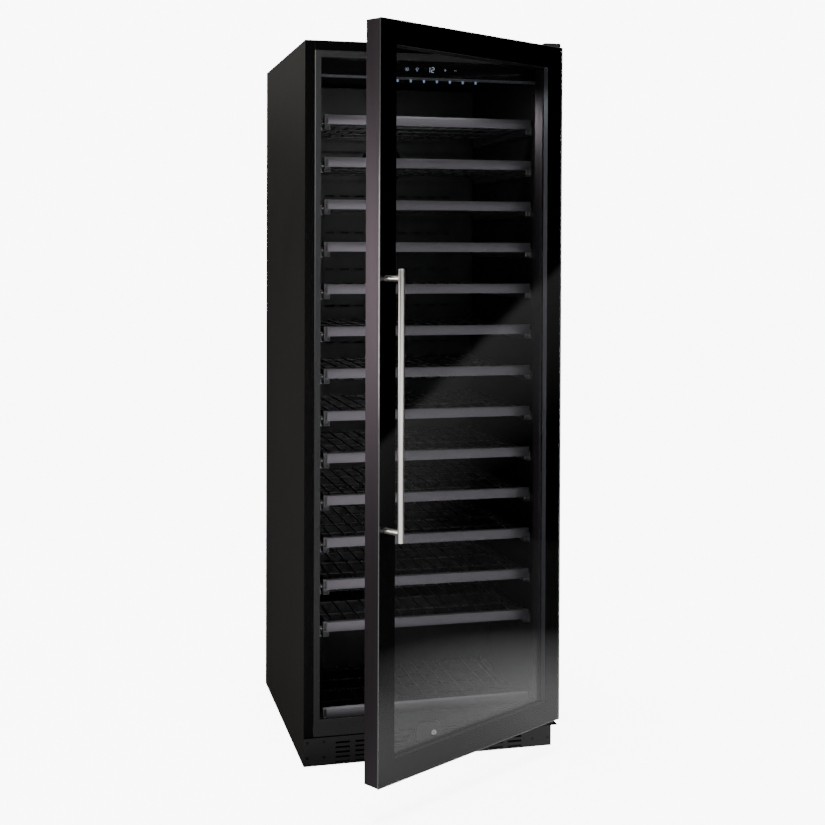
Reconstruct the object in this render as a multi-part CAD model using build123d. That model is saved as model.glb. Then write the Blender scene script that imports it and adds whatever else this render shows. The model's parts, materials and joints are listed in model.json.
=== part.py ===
from build123d import *
import math
import os

os.makedirs("parts", exist_ok=True)

# A tall, free-standing or built-in wine cooler with a glass door and sliding wire shelves.
# Millimetres. X is to the right, Y to the back and Z up. The origin is the middle of the
# cabinet's front plane, on the floor. The door is stored part open, at DOOR_REST_ANGLE.

# Cabinet
CABINET_WIDTH = 595.0
CABINET_DEPTH = 617.0
CABINET_HEIGHT = 1653.0
FLOOR_GAP = 3.0            # under the base pan, with the feet screwed right in
PANEL_SHEET = 0.8
FRONT_FLANGE = 22.0
REAR_FLANGE = 12.0
SIDE_WALL = 36.5           # outside face to cavity
TOP_WALL = 37.5
BACK_WALL = 38.0
JOINT = 0.5                # visible joint between neighbouring panels

# Front, from the floor up
PLINTH_HEIGHT = 64.0
PLINTH_SHEET = 1.5
PLINTH_JOINT = 3.0
FASCIA_HEIGHT = 26.0
FASCIA_SHEET = 1.2
LIP_BOTTOM = 12.0
LIP_PROUD = 1.5
LIP_THICK = 4.0
LINER_SHEET = 2.0
FLOOR_DROP = 13.0          # cavity floor below the lip
UNDERFLOOR = 21.0          # insulation under the cavity floor

# Plinth slots and screws
SLOT_HEIGHT = 4.6
SLOT_BAR = 12.5            # sheet left between two columns
SLOT_COLUMNS = 4
SLOT_ROWS = 5
SLOT_INNER = 52.0          # middle of the plinth to the first column
SLOT_SCREW_GAP = 27.0      # last column to the screws
SLOT_LOWEST = 6.0          # plinth's lower edge to the lowest row
SLOT_HIGHEST = 14.0        # highest row to the plinth's upper edge
SCREW_RADIUS = 2.0
SCREW_HEAD_RADIUS = 3.6
SCREW_LENGTH = 9.0
SCREW_INSETS = (8.5, 47.0)
SCREW_EDGE = 9.5

# Machine compartment
HUMP_DEPTH = 194.0
HUMP_HEIGHT = 180.0
HUMP_FOAM = 30.0
PAN_SHEET = 1.2
PAN_EDGE = 15.0
REAR_SLOT_WIDTH = 60.0
REAR_SLOT_HEIGHT = 5.0
REAR_SLOT_PITCH = 14.0
REAR_SLOT_ROWS = 11
REAR_SLOT_COLUMNS = (-190.0, -110.0, 110.0, 190.0)

# Mains inlet
INLET_WIDTH = 27.0
INLET_HEIGHT = 20.0
INLET_DEPTH = 26.0
INLET_FLANGE = 5.0
INLET_WALL = 2.0
BLADE_LENGTH = 16.0
BLADE_THICK = 1.5
BLADE_HIGH = 4.0
BLADE_SPREAD = 7.0
BLADE_OFFSET = 2.0

# Feet
FOOT_RADIUS = 19.0
FOOT_INSET = 48.0
FOOT_STEM_RADIUS = 5.0
FOOT_STEM = 30.0
FOOT_CLEARANCE = 0.08
BOSS_RADIUS = 10.0
BOSS_HEIGHT = 12.0

# Control panel and lamp
PANEL_SETBACK = 16.0
PANEL_DEPTH = 52.0
PANEL_FRONT_HEIGHT = 37.0
PANEL_WALL = 3.0
DISPLAY_WIDTH = 24.0
DISPLAY_HEIGHT = 16.0
DISPLAY_THICK = 1.6
LAMP_BAR = 5.0
LAMP_DEPTH = 14.0
LED_COUNT = 8
LED_PITCH = 31.3
LED_RADIUS = 2.6
LED_DROP = 6.0

# Shelves
SHELF_COUNT = 13
TOP_SHELF_DROP = 125.5     # cavity ceiling to the top shelf's upper edge
LOWEST_RAIL_GAP = 8.8      # step over the machine compartment to the lowest wall rail
SHELF_SETBACK = 40.0
SHELF_SIDE = 24.0          # cavity wall to the rack, each side
STRIP_RIGHT_GAP = 7.0      # the strip's right end to the cavity wall
SHELF_BACK_GAP = 29.0      # rack to the air duct
STRIP_HEIGHT = 22.0
STRIP_DEPTH = 14.0
STRIP_SHEET = 1.5
BAR_THICK = 2.0
BAR_HEIGHT = 14.0
ROD_RADIUS = 2.5
ROD_COUNT = 5
ROD_LIFT = 5.0
WIRE_RADIUS = 1.75
WIRE_PITCH = 33.0
WIRE_MARGIN = 5.0          # least room beside the outermost wires
BOTTOM_SHELF_LIFT = 1.0

# Shelf slides
RAIL_DEPTH = 14.0
RAIL_HEIGHT = 22.0
RAIL_SHEET = 1.2
RAIL_DROP = 13.0           # below the strip's lower edge
RAIL_START = 56.0
RUNNER_CLEARANCE = 0.6
RUNNER_SHEET = 1.5
RUNNER_START = 60.0
RUNNER_INSET = 1.0         # the runner's open side, inside the rail's mouth
ARM_THICK = 3.0
BRACKET_DEPTH = 12.0
BRACKET_SETBACK = 1.0
BRACKET_GAP = 2.0          # bracket and guide block to the wall rail
GLIDE_WIDTH = 14.0
GLIDE_DEPTH = 16.0
GLIDE_HEIGHT = 12.0
GLIDE_SETBACK = 4.0

# Air duct, evaporator and fans
DUCT_DEPTH = 50.0
DUCT_SHEET = 2.0
DUCT_SIDE_GAP = 6.0
DUCT_END_GAP = 8.0
VENT_WIDTH = 26.0
VENT_HEIGHT = 5.0
VENT_PITCH_X = 40.0
VENT_EDGE = 50.0           # duct's side to the outermost vents
FAN_SIZE = 120.0
FAN_THICK = 25.0
FAN_RIM = 3.0              # least wall beside the fan's bore
FAN_STRUT = 3.0
FAN_BLADE_GAP = 2.0
FAN_HUB = 19.0
FAN_HUB_THICK = 12.0
FAN_BLADES = 7
FAN_PIN = 1.5
FAN_PIN_CLEARANCE = 0.05
FAN_DROP = 210.0           # cavity ceiling to the circulation fan's axle
EVAPORATOR_SIDE = 55.0     # duct's side to the straight part of the tube
EVAPORATOR_PASSES = 10
EVAPORATOR_PITCH = 44.0
TUBE_RADIUS = 4.0

# Compressor and condenser
COMPRESSOR_RADIUS = 72.0
COMPRESSOR_HEIGHT = 165.0
COMPRESSOR_SIDE = 146.7    # left panel to the compressor's axis
FOOT_PLATE = 4.0
MOUNT_HEIGHT = 14.0
MOUNT_RADIUS = 9.0
TERMINAL_DEPTH = 26.0      # terminal box beyond the pot
TERMINAL_HALF_WIDTH = 28.0
TERMINAL_LOW = 50.0
TERMINAL_HIGH = 105.0
CONDENSER_SIDE = 136.7     # right panel to the condenser's middle
CONDENSER_WIDTH = 150.0
CONDENSER_ROWS = 3
CONDENSER_ROW_PITCH = 18.0
CONDENSER_PASSES = 8
CONDENSER_PITCH = 22.0
CONDENSER_FAN_GAP = 16.0   # last row to the fan
CONDENSER_FAN_LIFT = 20.0
CONDENSER_FAN_BACK = 10.0  # behind the compartment's middle
PLATE_SHEET = 1.2
PLATE_INSET = 10.0
PLATE_MARGIN = 8.0
TRAY_HALF_WIDTH = 80.0
TRAY_HALF_DEPTH = 65.0
TRAY_HEIGHT = 30.0
TRAY_WALL = 2.0
DRIER_RADIUS = 9.0
DRIER_START = -30.0
DRIER_END = 60.0
DRIER_STUB = 20.0
DRIER_INSET = 24.0
DRIER_LIFT = 60.0

# Door
DOOR_SIDE_GAP = 0.5        # inside the cabinet's width, each side
DOOR_BOTTOM_GAP = 8.0      # above the plinth's joint
DOOR_TOP_GAP = 1.0         # below the cabinet's top
DOOR_THICK = 42.0
DOOR_GAP = 8.0             # closed door to cabinet front
DOOR_REST_ANGLE = 31.4     # degrees open
GLASS = 4.0
GLASS_EDGE = 1.0           # glass beyond the frame all round
RAIL_WIDTH = 50.0          # glass edge to window
FRAME_WALL = 2.0
REBATE_WIDTH = 13.0
REBATE_DEPTH = 16.0
PANE_EDGE = 1.0
BOND = 0.1                 # adhesive line between door pieces
MITRE_GAP = 0.1
SPACER_WIDTH = 8.0
GASKET_INSET = 22.0
GASKET_WIDTH = 14.0
GASKET_CLEARANCE = 0.3

# Door hinges
HINGE_SIDE = 14.3          # door's edge to the hinge axis
HINGE_FRONT = 17.1         # door's front to the hinge axis
HINGE_PLATE = 2.6
HINGE_PLATE_WIDTH = 38.0
HINGE_PLATE_REACH = 13.0   # beyond the axis
HINGE_PLATE_BACK = 60.0    # behind the cabinet's front
HINGE_CORNER = 6.0
HINGE_COVER_WALL = 1.6
PIN_RADIUS = 4.0
PIN_CLEARANCE = 0.05
PIN_DEPTH = 12.0           # into the door
BUSH_RADIUS = 7.0
BUSH_FLANGE = 10.0
BUSH_CLEARANCE = 0.2
BUSH_FIT = 0.05            # bush to its hole in the frame
HINGE_COVER_HEIGHT = 8.0

# Handle
BAR_RADIUS = 6.75
BAR_LENGTH = 554.0
BAR_STANDOFF = 45.0
BAR_INSET = 18.0
POST_RADIUS = 6.0
POST_SPACING = 515.0
HANDLE_SCREW_RADIUS = 2.5
HANDLE_SCREW_HEAD = 4.5
HANDLE_SCREW_DEPTH = 15.0

# Lock
LOCK_WIDTH = 62.0
LOCK_HEIGHT = 43.0
LOCK_PROUD = 6.0
LOCK_X = -5.0
LOCK_DROP = 26.0           # plinth's upper edge to the lock's lower edge
BARREL_X = 7.6
BARREL_DROP = 7.0          # plinth's upper edge to the barrel's axis
BARREL_RADIUS = 6.0
BARREL_CLEARANCE = 0.05
TONGUE_LENGTH = 24.0
TONGUE_WIDTH = 8.0
TONGUE_THICK = 2.0
TONGUE_CLEARANCE = 0.5

# Places that follow from the sizes above
half_width = CABINET_WIDTH / 2
inner_half = half_width - PANEL_SHEET
flange_edge = half_width - FRONT_FLANGE
lip_half = flange_edge - JOINT
cavity_half = half_width - SIDE_WALL
plinth_top = FLOOR_GAP + PLINTH_HEIGHT
fascia_bottom = plinth_top + PLINTH_JOINT
fascia_top = fascia_bottom + FASCIA_HEIGHT
opening_bottom = fascia_top + LIP_BOTTOM
cavity_floor = opening_bottom - FLOOR_DROP
cavity_top = CABINET_HEIGHT - TOP_WALL
cavity_back = CABINET_DEPTH - BACK_WALL
lip_top = CABINET_HEIGHT - FRONT_FLANGE - JOINT
foam_bottom = cavity_floor - LINER_SHEET - UNDERFLOOR
hump_front = cavity_back - HUMP_DEPTH
hump_top = cavity_floor + HUMP_HEIGHT
bay_top = hump_top - LINER_SHEET - HUMP_FOAM
bay_front = hump_front + LINER_SHEET + HUMP_FOAM
back_inner = CABINET_DEPTH - 2 * PANEL_SHEET
pan_top = FLOOR_GAP + PAN_SHEET
slot_outer = half_width - SCREW_INSETS[1] - SLOT_SCREW_GAP
slot_pitch_x = (slot_outer - SLOT_INNER + SLOT_BAR) / SLOT_COLUMNS
slot_width = slot_pitch_x - SLOT_BAR
slot_pitch_z = (PLINTH_HEIGHT - SLOT_LOWEST - SLOT_HIGHEST) / (SLOT_ROWS - 1)
inlet_z = (pan_top + PAN_EDGE + bay_top) / 2
duct_front = cavity_back - DUCT_DEPTH
duct_half = cavity_half - DUCT_SIDE_GAP
vent_columns = int(2 * (duct_half - VENT_EDGE) / VENT_PITCH_X)
fan_bore = FAN_SIZE / 2 - FAN_RIM
fan_z = cavity_top - FAN_DROP
duct_fan_y = duct_front + DUCT_SHEET
evaporator_half = duct_half - EVAPORATOR_SIDE
shelf_half = cavity_half - SHELF_SIDE
strip_right = cavity_half - STRIP_RIGHT_GAP
shelf_end = duct_front - SHELF_BACK_GAP
top_shelf_bottom = cavity_top - TOP_SHELF_DROP - STRIP_HEIGHT
lowest_shelf_bottom = hump_top + LOWEST_RAIL_GAP + RAIL_DROP
shelf_pitch = (top_shelf_bottom - lowest_shelf_bottom) / (SHELF_COUNT - 1)
wire_count = int(2 * (shelf_half - BAR_THICK - WIRE_MARGIN) / WIRE_PITCH) + 1
bay_middle = (bay_front + back_inner) / 2
compressor_x = COMPRESSOR_SIDE - inner_half
mount_half_x = COMPRESSOR_RADIUS + MOUNT_RADIUS
condenser_x = inner_half - CONDENSER_SIDE
condenser_fan_y = bay_middle + CONDENSER_FAN_BACK
condenser_fan_z = pan_top + PAN_EDGE + FAN_SIZE / 2 + CONDENSER_FAN_LIFT
lock_bottom = plinth_top - LOCK_DROP
barrel_z = plinth_top - BARREL_DROP
door_bottom = fascia_bottom + DOOR_BOTTOM_GAP
door_front = -DOOR_GAP - DOOR_THICK
door_back = -DOOR_GAP
door_top = CABINET_HEIGHT - DOOR_TOP_GAP
door_half = half_width - DOOR_SIDE_GAP
glass_back = door_front + GLASS
hinge_seat = fascia_bottom - (PLINTH_JOINT - HINGE_PLATE) / 2
frame_front = glass_back + BOND
hinge_x = door_half - HINGE_SIDE
hinge_y = door_front + HINGE_FRONT
handle_x = BAR_INSET - door_half
bar_y = door_front - BAR_STANDOFF
door_middle = (door_bottom + door_top) / 2


def block(x0, x1, y0, y1, z0, z1):
    """A box between two corners."""
    size = Box(x1 - x0, y1 - y0, z1 - z0)
    return Pos((x0 + x1) / 2, (y0 + y1) / 2, (z0 + z1) / 2) * size


def rod_x(x0, x1, y, z, radius):
    """A round bar along X."""
    return Pos((x0 + x1) / 2, y, z) * Rot(0, 90, 0) * Cylinder(radius, x1 - x0)


def rod_y(x, y0, y1, z, radius):
    """A round bar along Y."""
    return Pos(x, (y0 + y1) / 2, z) * Rot(90, 0, 0) * Cylinder(radius, y1 - y0)


def rod_z(x, y, z0, z1, radius):
    """A round bar along Z."""
    return Pos(x, y, (z0 + z1) / 2) * Cylinder(radius, z1 - z0)


def mirrored(shape):
    """The same shape on the other side of the middle plane."""
    return mirror(shape, about=Plane.YZ)


def group(solids):
    """Separate solids kept together as one node."""
    return Compound(children=[solid for shape in solids for solid in shape.solids()])


def save(name, shape):
    """Write one node, and say what it holds."""
    export_step(shape, "parts/" + name + ".step")
    print(name, len(shape.solids()), "solids")


# ---------------------------------------------------------------- cabinet shell

def make_side_panel():
    """The left side: one folded sheet with a front flange and a rear flange."""
    sheet = block(-half_width, -inner_half, 0, CABINET_DEPTH, plinth_top, CABINET_HEIGHT)
    skirt = block(-half_width, -inner_half, PLINTH_SHEET, CABINET_DEPTH, FLOOR_GAP, plinth_top)
    front = block(-half_width, -flange_edge, 0, PANEL_SHEET, fascia_bottom, CABINET_HEIGHT)
    rear_edge = half_width - REAR_FLANGE
    rear_face = CABINET_DEPTH - PANEL_SHEET
    rear = block(-half_width, -rear_edge, rear_face, CABINET_DEPTH, FLOOR_GAP, CABINET_HEIGHT)
    return sheet + skirt + front + rear


def make_top_panel():
    """The top: a sheet folded down at the front and the back."""
    under = CABINET_HEIGHT - PANEL_SHEET
    sheet = block(-inner_half, inner_half, PANEL_SHEET, back_inner, under, CABINET_HEIGHT)
    front_half = flange_edge - JOINT
    flange_z = CABINET_HEIGHT - FRONT_FLANGE
    front = block(-front_half, front_half, 0, PANEL_SHEET, flange_z, CABINET_HEIGHT)
    rear_half = half_width - REAR_FLANGE - JOINT
    rear_z = CABINET_HEIGHT - REAR_FLANGE
    rear = block(-rear_half, rear_half, back_inner, CABINET_DEPTH, rear_z, CABINET_HEIGHT)
    inside = block(-rear_half, rear_half, back_inner, CABINET_DEPTH - PANEL_SHEET, rear_z, under)
    return sheet + front + (rear - inside)


def make_back_panel():
    """The back above the machine compartment, seated inside the rear flanges."""
    top = CABINET_HEIGHT - PANEL_SHEET - JOINT
    face = CABINET_DEPTH - PANEL_SHEET
    return block(-inner_half, inner_half, back_inner, face, bay_top, top)


def make_rear_grille():
    """The vented plate that closes the machine compartment."""
    face = CABINET_DEPTH - PANEL_SHEET
    plate = block(-inner_half, inner_half, back_inner, face, pan_top + PAN_EDGE, bay_top - JOINT)
    slot = Box(REAR_SLOT_WIDTH, BACK_WALL, REAR_SLOT_HEIGHT)
    slots = [
        Pos(x, face, inlet_z + REAR_SLOT_PITCH * (row - (REAR_SLOT_ROWS - 1) / 2)) * slot
        for x in REAR_SLOT_COLUMNS
        for row in range(REAR_SLOT_ROWS)
    ]
    inlet = Pos(0, face, inlet_z) * Box(INLET_WIDTH, BACK_WALL, INLET_HEIGHT)
    return plate - slots - inlet


def make_mains_inlet():
    """The appliance inlet: a flanged socket body with three blades inside."""
    face = CABINET_DEPTH - PANEL_SHEET
    wide = INLET_WIDTH / 2 - JOINT
    high = INLET_HEIGHT / 2 - JOINT
    flange_x = INLET_WIDTH / 2 + INLET_FLANGE
    flange_z = INLET_HEIGHT / 2 + INLET_FLANGE
    back = face - INLET_DEPTH
    body = block(-wide, wide, back, face, inlet_z - high, inlet_z + high)
    flange = block(
        -flange_x, flange_x, face, CABINET_DEPTH, inlet_z - flange_z, inlet_z + flange_z
    )
    mouth = block(
        INLET_WALL - wide, wide - INLET_WALL, back + INLET_WALL, CABINET_DEPTH,
        inlet_z - high + INLET_WALL, inlet_z + high - INLET_WALL,
    )
    socket = body + flange - mouth
    blade = Box(BLADE_THICK, BLADE_LENGTH, BLADE_HIGH)
    blade_y = back + INLET_WALL + BLADE_LENGTH / 2
    live_z = inlet_z - BLADE_OFFSET
    blades = [Pos(BLADE_SPREAD * side, blade_y, live_z) * blade for side in (-1, 1)]
    earth = Pos(0, blade_y, inlet_z + BLADE_OFFSET) * blade
    return group([socket, earth] + blades)


def foot_places():
    """The four feet, by name."""
    x = half_width - FOOT_INSET
    return {
        "foot_front_left": (-x, FOOT_INSET),
        "foot_front_right": (x, FOOT_INSET),
        "foot_rear_left": (-x, CABINET_DEPTH - FOOT_INSET),
        "foot_rear_right": (x, CABINET_DEPTH - FOOT_INSET),
    }


def make_base_pan():
    """The base tray, with an upturned edge and a threaded boss over each foot."""
    gap = JOINT
    front = PLINTH_SHEET + gap
    half = inner_half - gap
    top = pan_top + PAN_EDGE
    pan = block(-half, half, front, back_inner - gap, FLOOR_GAP, top)
    hollow = block(
        PAN_SHEET - half, half - PAN_SHEET, front + PAN_SHEET,
        back_inner - gap - PAN_SHEET, pan_top, top,
    )
    pan -= hollow
    for x, y in foot_places().values():
        pan += rod_z(x, y, pan_top, pan_top + BOSS_HEIGHT, BOSS_RADIUS)
    for x, y in foot_places().values():
        pan -= rod_z(x, y, 0, pan_top + BOSS_HEIGHT, FOOT_STEM_RADIUS + FOOT_CLEARANCE)
    return pan


def make_foot(x, y):
    """A levelling foot: a hexagonal-edged pad on a threaded stem, shown without its thread."""
    pad_top = FLOOR_GAP - BUSH_CLEARANCE
    pad = Pos(x, y, 0) * extrude(RegularPolygon(FOOT_RADIUS, 6), pad_top)
    skirt = rod_z(x, y, 0, pad_top, FOOT_RADIUS * math.cos(math.pi / 6))
    stem = rod_z(x, y, pad_top, pad_top + FOOT_STEM, FOOT_STEM_RADIUS)
    return pad + skirt + stem


def make_foam():
    """The foamed-in insulation between the shell and the liner."""
    back = back_inner
    top = CABINET_HEIGHT - PANEL_SHEET
    foam = block(-inner_half, inner_half, LIP_THICK - LIP_PROUD, back, foam_bottom, top)
    foam -= liner_outside()
    return foam - block(-half_width, half_width, bay_front, CABINET_DEPTH, 0, bay_top)


def liner_outside():
    """The liner's outer envelope, without its front lip."""
    outer = cavity_half + LINER_SHEET
    back = cavity_back + LINER_SHEET
    bottom = cavity_floor - LINER_SHEET
    front = LIP_THICK - LIP_PROUD - LINER_SHEET / 4
    shape = block(-outer, outer, front, back, bottom, cavity_top + LINER_SHEET)
    recess_front = hump_front + LINER_SHEET
    recess_top = hump_top - LINER_SHEET
    return shape - block(-half_width, half_width, recess_front, CABINET_DEPTH, 0, recess_top)


def make_liner():
    """The moulded liner: a five-sided tub over a step, with a raised lip round its mouth."""
    lip = block(-lip_half, lip_half, -LIP_PROUD, LIP_THICK - LIP_PROUD, fascia_top, lip_top)
    shape = liner_outside() + lip
    cavity_mouth = block(
        -cavity_half, cavity_half, -CABINET_DEPTH, CABINET_DEPTH, opening_bottom, cavity_top
    )
    tub_front = LIP_THICK - LIP_PROUD + LINER_SHEET
    tub = block(-cavity_half, cavity_half, tub_front, cavity_back, cavity_floor, cavity_top)
    beyond = block(-half_width, half_width, cavity_back, CABINET_DEPTH, 0, CABINET_HEIGHT)
    step = block(-half_width, half_width, hump_front, CABINET_DEPTH, 0, hump_top)
    return shape - ((cavity_mouth + tub) - beyond - step)


def make_fascia():
    """The strip between the cavity's lip and the plinth, folded back along its lower edge."""
    half = flange_edge - JOINT
    top = fascia_top - JOINT
    plate = block(-half, half, 0, FASCIA_SHEET, fascia_bottom, top)
    fold = block(-half, half, 0, PAN_EDGE, fascia_bottom, fascia_bottom + FASCIA_SHEET)
    return plate + fold - lock_opening()


def lock_opening():
    """The cut-out that the lock sits in."""
    return lock_outline(JOINT, -PAN_EDGE, PAN_EDGE)


def lock_outline(grow, y0, y1):
    """The lock's round-topped outline, grown by a clearance."""
    half = LOCK_WIDTH / 2 + grow
    corner = LOCK_WIDTH / 4
    bottom = lock_bottom - grow
    top = lock_bottom + LOCK_HEIGHT + grow
    shape = block(LOCK_X - half, LOCK_X + half, y0, y1, bottom, top)
    edges = shape.edges().filter_by(Axis.Y).group_by(Axis.Z)[-1]
    return fillet(edges, corner)


def make_plinth():
    """The vented kick plate across the whole front, folded back at both ends."""
    plate = block(-half_width, half_width, 0, PLINTH_SHEET, FLOOR_GAP, plinth_top)
    slot = Box(slot_width, 4 * PLINTH_SHEET, SLOT_HEIGHT)
    slots = []
    for column in range(SLOT_COLUMNS):
        x = SLOT_INNER + slot_width / 2 + column * slot_pitch_x
        for row in range(SLOT_ROWS):
            z = FLOOR_GAP + SLOT_LOWEST + row * slot_pitch_z
            slots += [Pos(side * x, 0, z) * slot for side in (-1, 1)]
    plate = plate - slots
    plate = plate - lock_opening()
    for x, z in screw_places():
        plate -= countersunk(x, z, SCREW_RADIUS + PIN_CLEARANCE, SCREW_HEAD_RADIUS)
    return plate


def screw_places():
    """Middle of each plinth screw."""
    rows = (FLOOR_GAP + 2 * SCREW_EDGE, plinth_top - SCREW_EDGE)
    return [
        (side * (half_width - inset), z) for side in (-1, 1) for inset in SCREW_INSETS for z in rows
    ]


def countersunk(x, z, radius, head_radius):
    """A countersunk screw, its flat head flush with the front plane."""
    head = head_radius - radius
    shank = rod_y(x, 0, SCREW_LENGTH, z, radius)
    cone = Pos(x, head / 2, z) * Rot(90, 0, 0) * Cone(radius, head_radius, head)
    return shank + cone


def make_plinth_screws():
    """The plinth's countersunk screws, each with a slot for the driver."""
    slot = Box(2 * SCREW_HEAD_RADIUS, 1.0, 0.8)
    screws = []
    for x, z in screw_places():
        screw = countersunk(x, z, SCREW_RADIUS, SCREW_HEAD_RADIUS - PIN_CLEARANCE)
        screws.append(screw - Pos(x, 0, z) * slot)
    return group(screws)


# ---------------------------------------------------------------- inside the cavity

def make_control_panel():
    """The control panel's housing across the top of the cavity, open at the back."""
    half = cavity_half - JOINT
    bottom = cavity_top - PANEL_FRONT_HEIGHT
    back = PANEL_SETBACK + PANEL_DEPTH
    shell = block(-half, half, PANEL_SETBACK, back, bottom, cavity_top - JOINT)
    hollow = block(
        PANEL_WALL - half, half - PANEL_WALL, PANEL_SETBACK + PANEL_WALL, back + PANEL_WALL,
        bottom + PANEL_WALL, cavity_top - JOINT - PANEL_WALL,
    )
    return shell - hollow - display_block(0)


def display_block(shrink):
    """The display window's place in the panel's front."""
    z = cavity_top - PANEL_FRONT_HEIGHT / 2
    wide = DISPLAY_WIDTH / 2 - shrink
    high = DISPLAY_HEIGHT / 2 - shrink
    back = PANEL_SETBACK + DISPLAY_THICK
    return block(-wide, wide, PANEL_SETBACK, back, z - high, z + high)


def make_lamp_bar():
    """The light bar under the control panel."""
    half = cavity_half - JOINT
    top = cavity_top - PANEL_FRONT_HEIGHT
    return block(-half, half, PANEL_SETBACK, PANEL_SETBACK + LAMP_DEPTH, top - LAMP_BAR, top)


def make_lamp_lenses():
    """The row of lamp lenses that hang under the light bar."""
    top = cavity_top - PANEL_FRONT_HEIGHT - LAMP_BAR
    y = PANEL_SETBACK + LAMP_DEPTH / 3
    lenses = []
    for index in range(LED_COUNT):
        x = (index - (LED_COUNT - 1) / 2) * LED_PITCH
        lens = rod_z(x, y, top - LED_DROP, top, LED_RADIUS)
        lenses.append(fillet(lens.edges().group_by(Axis.Z)[0], LED_RADIUS * 0.7))
    return group(lenses)


def make_duct_cover():
    """The air duct's cover in front of the evaporator, with rows of vents and a fan opening."""
    bottom = hump_top + DUCT_END_GAP
    top = cavity_top - DUCT_END_GAP
    back = cavity_back
    cover = block(-duct_half, duct_half, duct_front, back, bottom, top)
    cover -= block(
        DUCT_SHEET - duct_half, duct_half - DUCT_SHEET, duct_front + DUCT_SHEET, back,
        bottom + DUCT_SHEET, top - DUCT_SHEET,
    )
    vent = Box(VENT_WIDTH, 4 * DUCT_SHEET, VENT_HEIGHT)
    vents = []
    for shelf in range(1, SHELF_COUNT):
        z = shelf_bottom(shelf) - shelf_pitch / 2
        if abs(z - fan_z) > FAN_SIZE / 2 + VENT_HEIGHT and z > bottom + VENT_HEIGHT:
            for column in range(vent_columns):
                x = (column - (vent_columns - 1) / 2) * VENT_PITCH_X
                vents.append(Pos(x, duct_front, z) * vent)
    ring = rod_y(0, duct_front - DUCT_SHEET, duct_front + 2 * DUCT_SHEET, fan_z, fan_bore)
    spoke = block(-fan_bore, fan_bore, duct_front, duct_front + DUCT_SHEET, -2, 2)
    guard = [Pos(0, 0, fan_z) * Rot(0, turn, 0) * spoke for turn in (0, 45, 90, 135)]
    hub = rod_y(0, duct_front, duct_front + DUCT_SHEET, fan_z, FAN_HUB)
    cover = cover - vents - ring
    for piece in guard:
        cover += piece
    return cover + hub


def serpentine(width, passes, pitch, radius, y):
    """A tube that runs back and forth in the plane of one Y, from the origin upwards."""
    half = width / 2
    edges = []
    for index in range(passes):
        side = 1 if index % 2 == 0 else -1
        z = index * pitch
        edges.append(Line((-side * half, y, z), (side * half, y, z)))
        if index < passes - 1:
            bend = (side * (half + pitch / 2), y, z + pitch / 2)
            edges.append(ThreePointArc((side * half, y, z), bend, (side * half, y, z + pitch)))
    path = Wire(edges)
    start = Plane(origin=(-half, y, 0), z_dir=(1, 0, 0))
    return sweep(start * Circle(radius), path=path)


def make_evaporator():
    """The evaporator: one serpentine tube behind a flat fin plate, in the air duct."""
    z = hump_top + DUCT_END_GAP + 4 * EVAPORATOR_PITCH
    y = cavity_back - 3 * TUBE_RADIUS
    half = evaporator_half
    tube = serpentine(2 * half, EVAPORATOR_PASSES, EVAPORATOR_PITCH, TUBE_RADIUS, y)
    tube = Pos(0, 0, z) * tube
    top = z + EVAPORATOR_PASSES * EVAPORATOR_PITCH
    plate_back = y - TUBE_RADIUS
    plate = block(-half, half, plate_back - DUCT_SHEET, plate_back, z - EVAPORATOR_PITCH, top)
    return group([tube, plate])


def make_fan_frame(x, y, z):
    """A square axial fan's frame, its motor held in the middle by four struts, facing front."""
    half = FAN_SIZE / 2
    back = y + FAN_THICK
    frame = block(x - half, x + half, y, back, z - half, z + half)
    frame -= rod_y(x, y - 1, back + 1, z, fan_bore)
    strut = Box(2 * fan_bore + 2, FAN_STRUT, FAN_STRUT + 1)
    for turn in (0, 90):
        frame += Pos(x, back - FAN_STRUT / 2, z) * Rot(0, turn + 45, 0) * strut
    frame += rod_y(x, back - FAN_STRUT - FAN_HUB_THICK / 2, back, z, FAN_HUB)
    return frame + rod_y(x, y + FAN_BLADE_GAP + 1, back - FAN_STRUT, z, FAN_PIN)


def make_fan_rotor(x, y, z):
    """The fan's bladed rotor, on the motor's pin."""
    front = y + FAN_BLADE_GAP
    back = y + FAN_THICK - FAN_STRUT - FAN_HUB_THICK / 2 - 1
    hub = rod_y(x, front, back, z, FAN_HUB)
    middle = (front + back) / 2
    reach = fan_bore - FAN_BLADE_GAP
    blade = Pos(FAN_HUB - 3 + reach / 2, 0, 0) * Rot(35, 0, 0) * Box(reach, 1.6, 22)
    sweep_zone = rod_y(0, front - middle, back - middle, 0, reach)
    blade = blade & sweep_zone
    rotor = hub
    for index in range(FAN_BLADES):
        rotor += Pos(x, middle, z) * Rot(0, 360 * index / FAN_BLADES, 0) * blade
    return rotor - rod_y(x, front + 1, back + 1, z, FAN_PIN + FAN_PIN_CLEARANCE)


# ---------------------------------------------------------------- shelves

def shelf_bottom(number):
    """Lower edge of a shelf's front strip; shelf 1 is the top one."""
    return top_shelf_bottom - (number - 1) * shelf_pitch


def make_strip(bottom):
    """A shelf's folded metal front strip, which hides the slide at the right."""
    top = bottom + STRIP_HEIGHT
    back = SHELF_SETBACK + STRIP_DEPTH
    strip = block(-shelf_half, strip_right, SHELF_SETBACK, back, bottom, top)
    hollow = block(
        -shelf_half, strip_right, SHELF_SETBACK + STRIP_SHEET, back,
        bottom + STRIP_SHEET, top - STRIP_SHEET,
    )
    return strip - hollow


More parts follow.
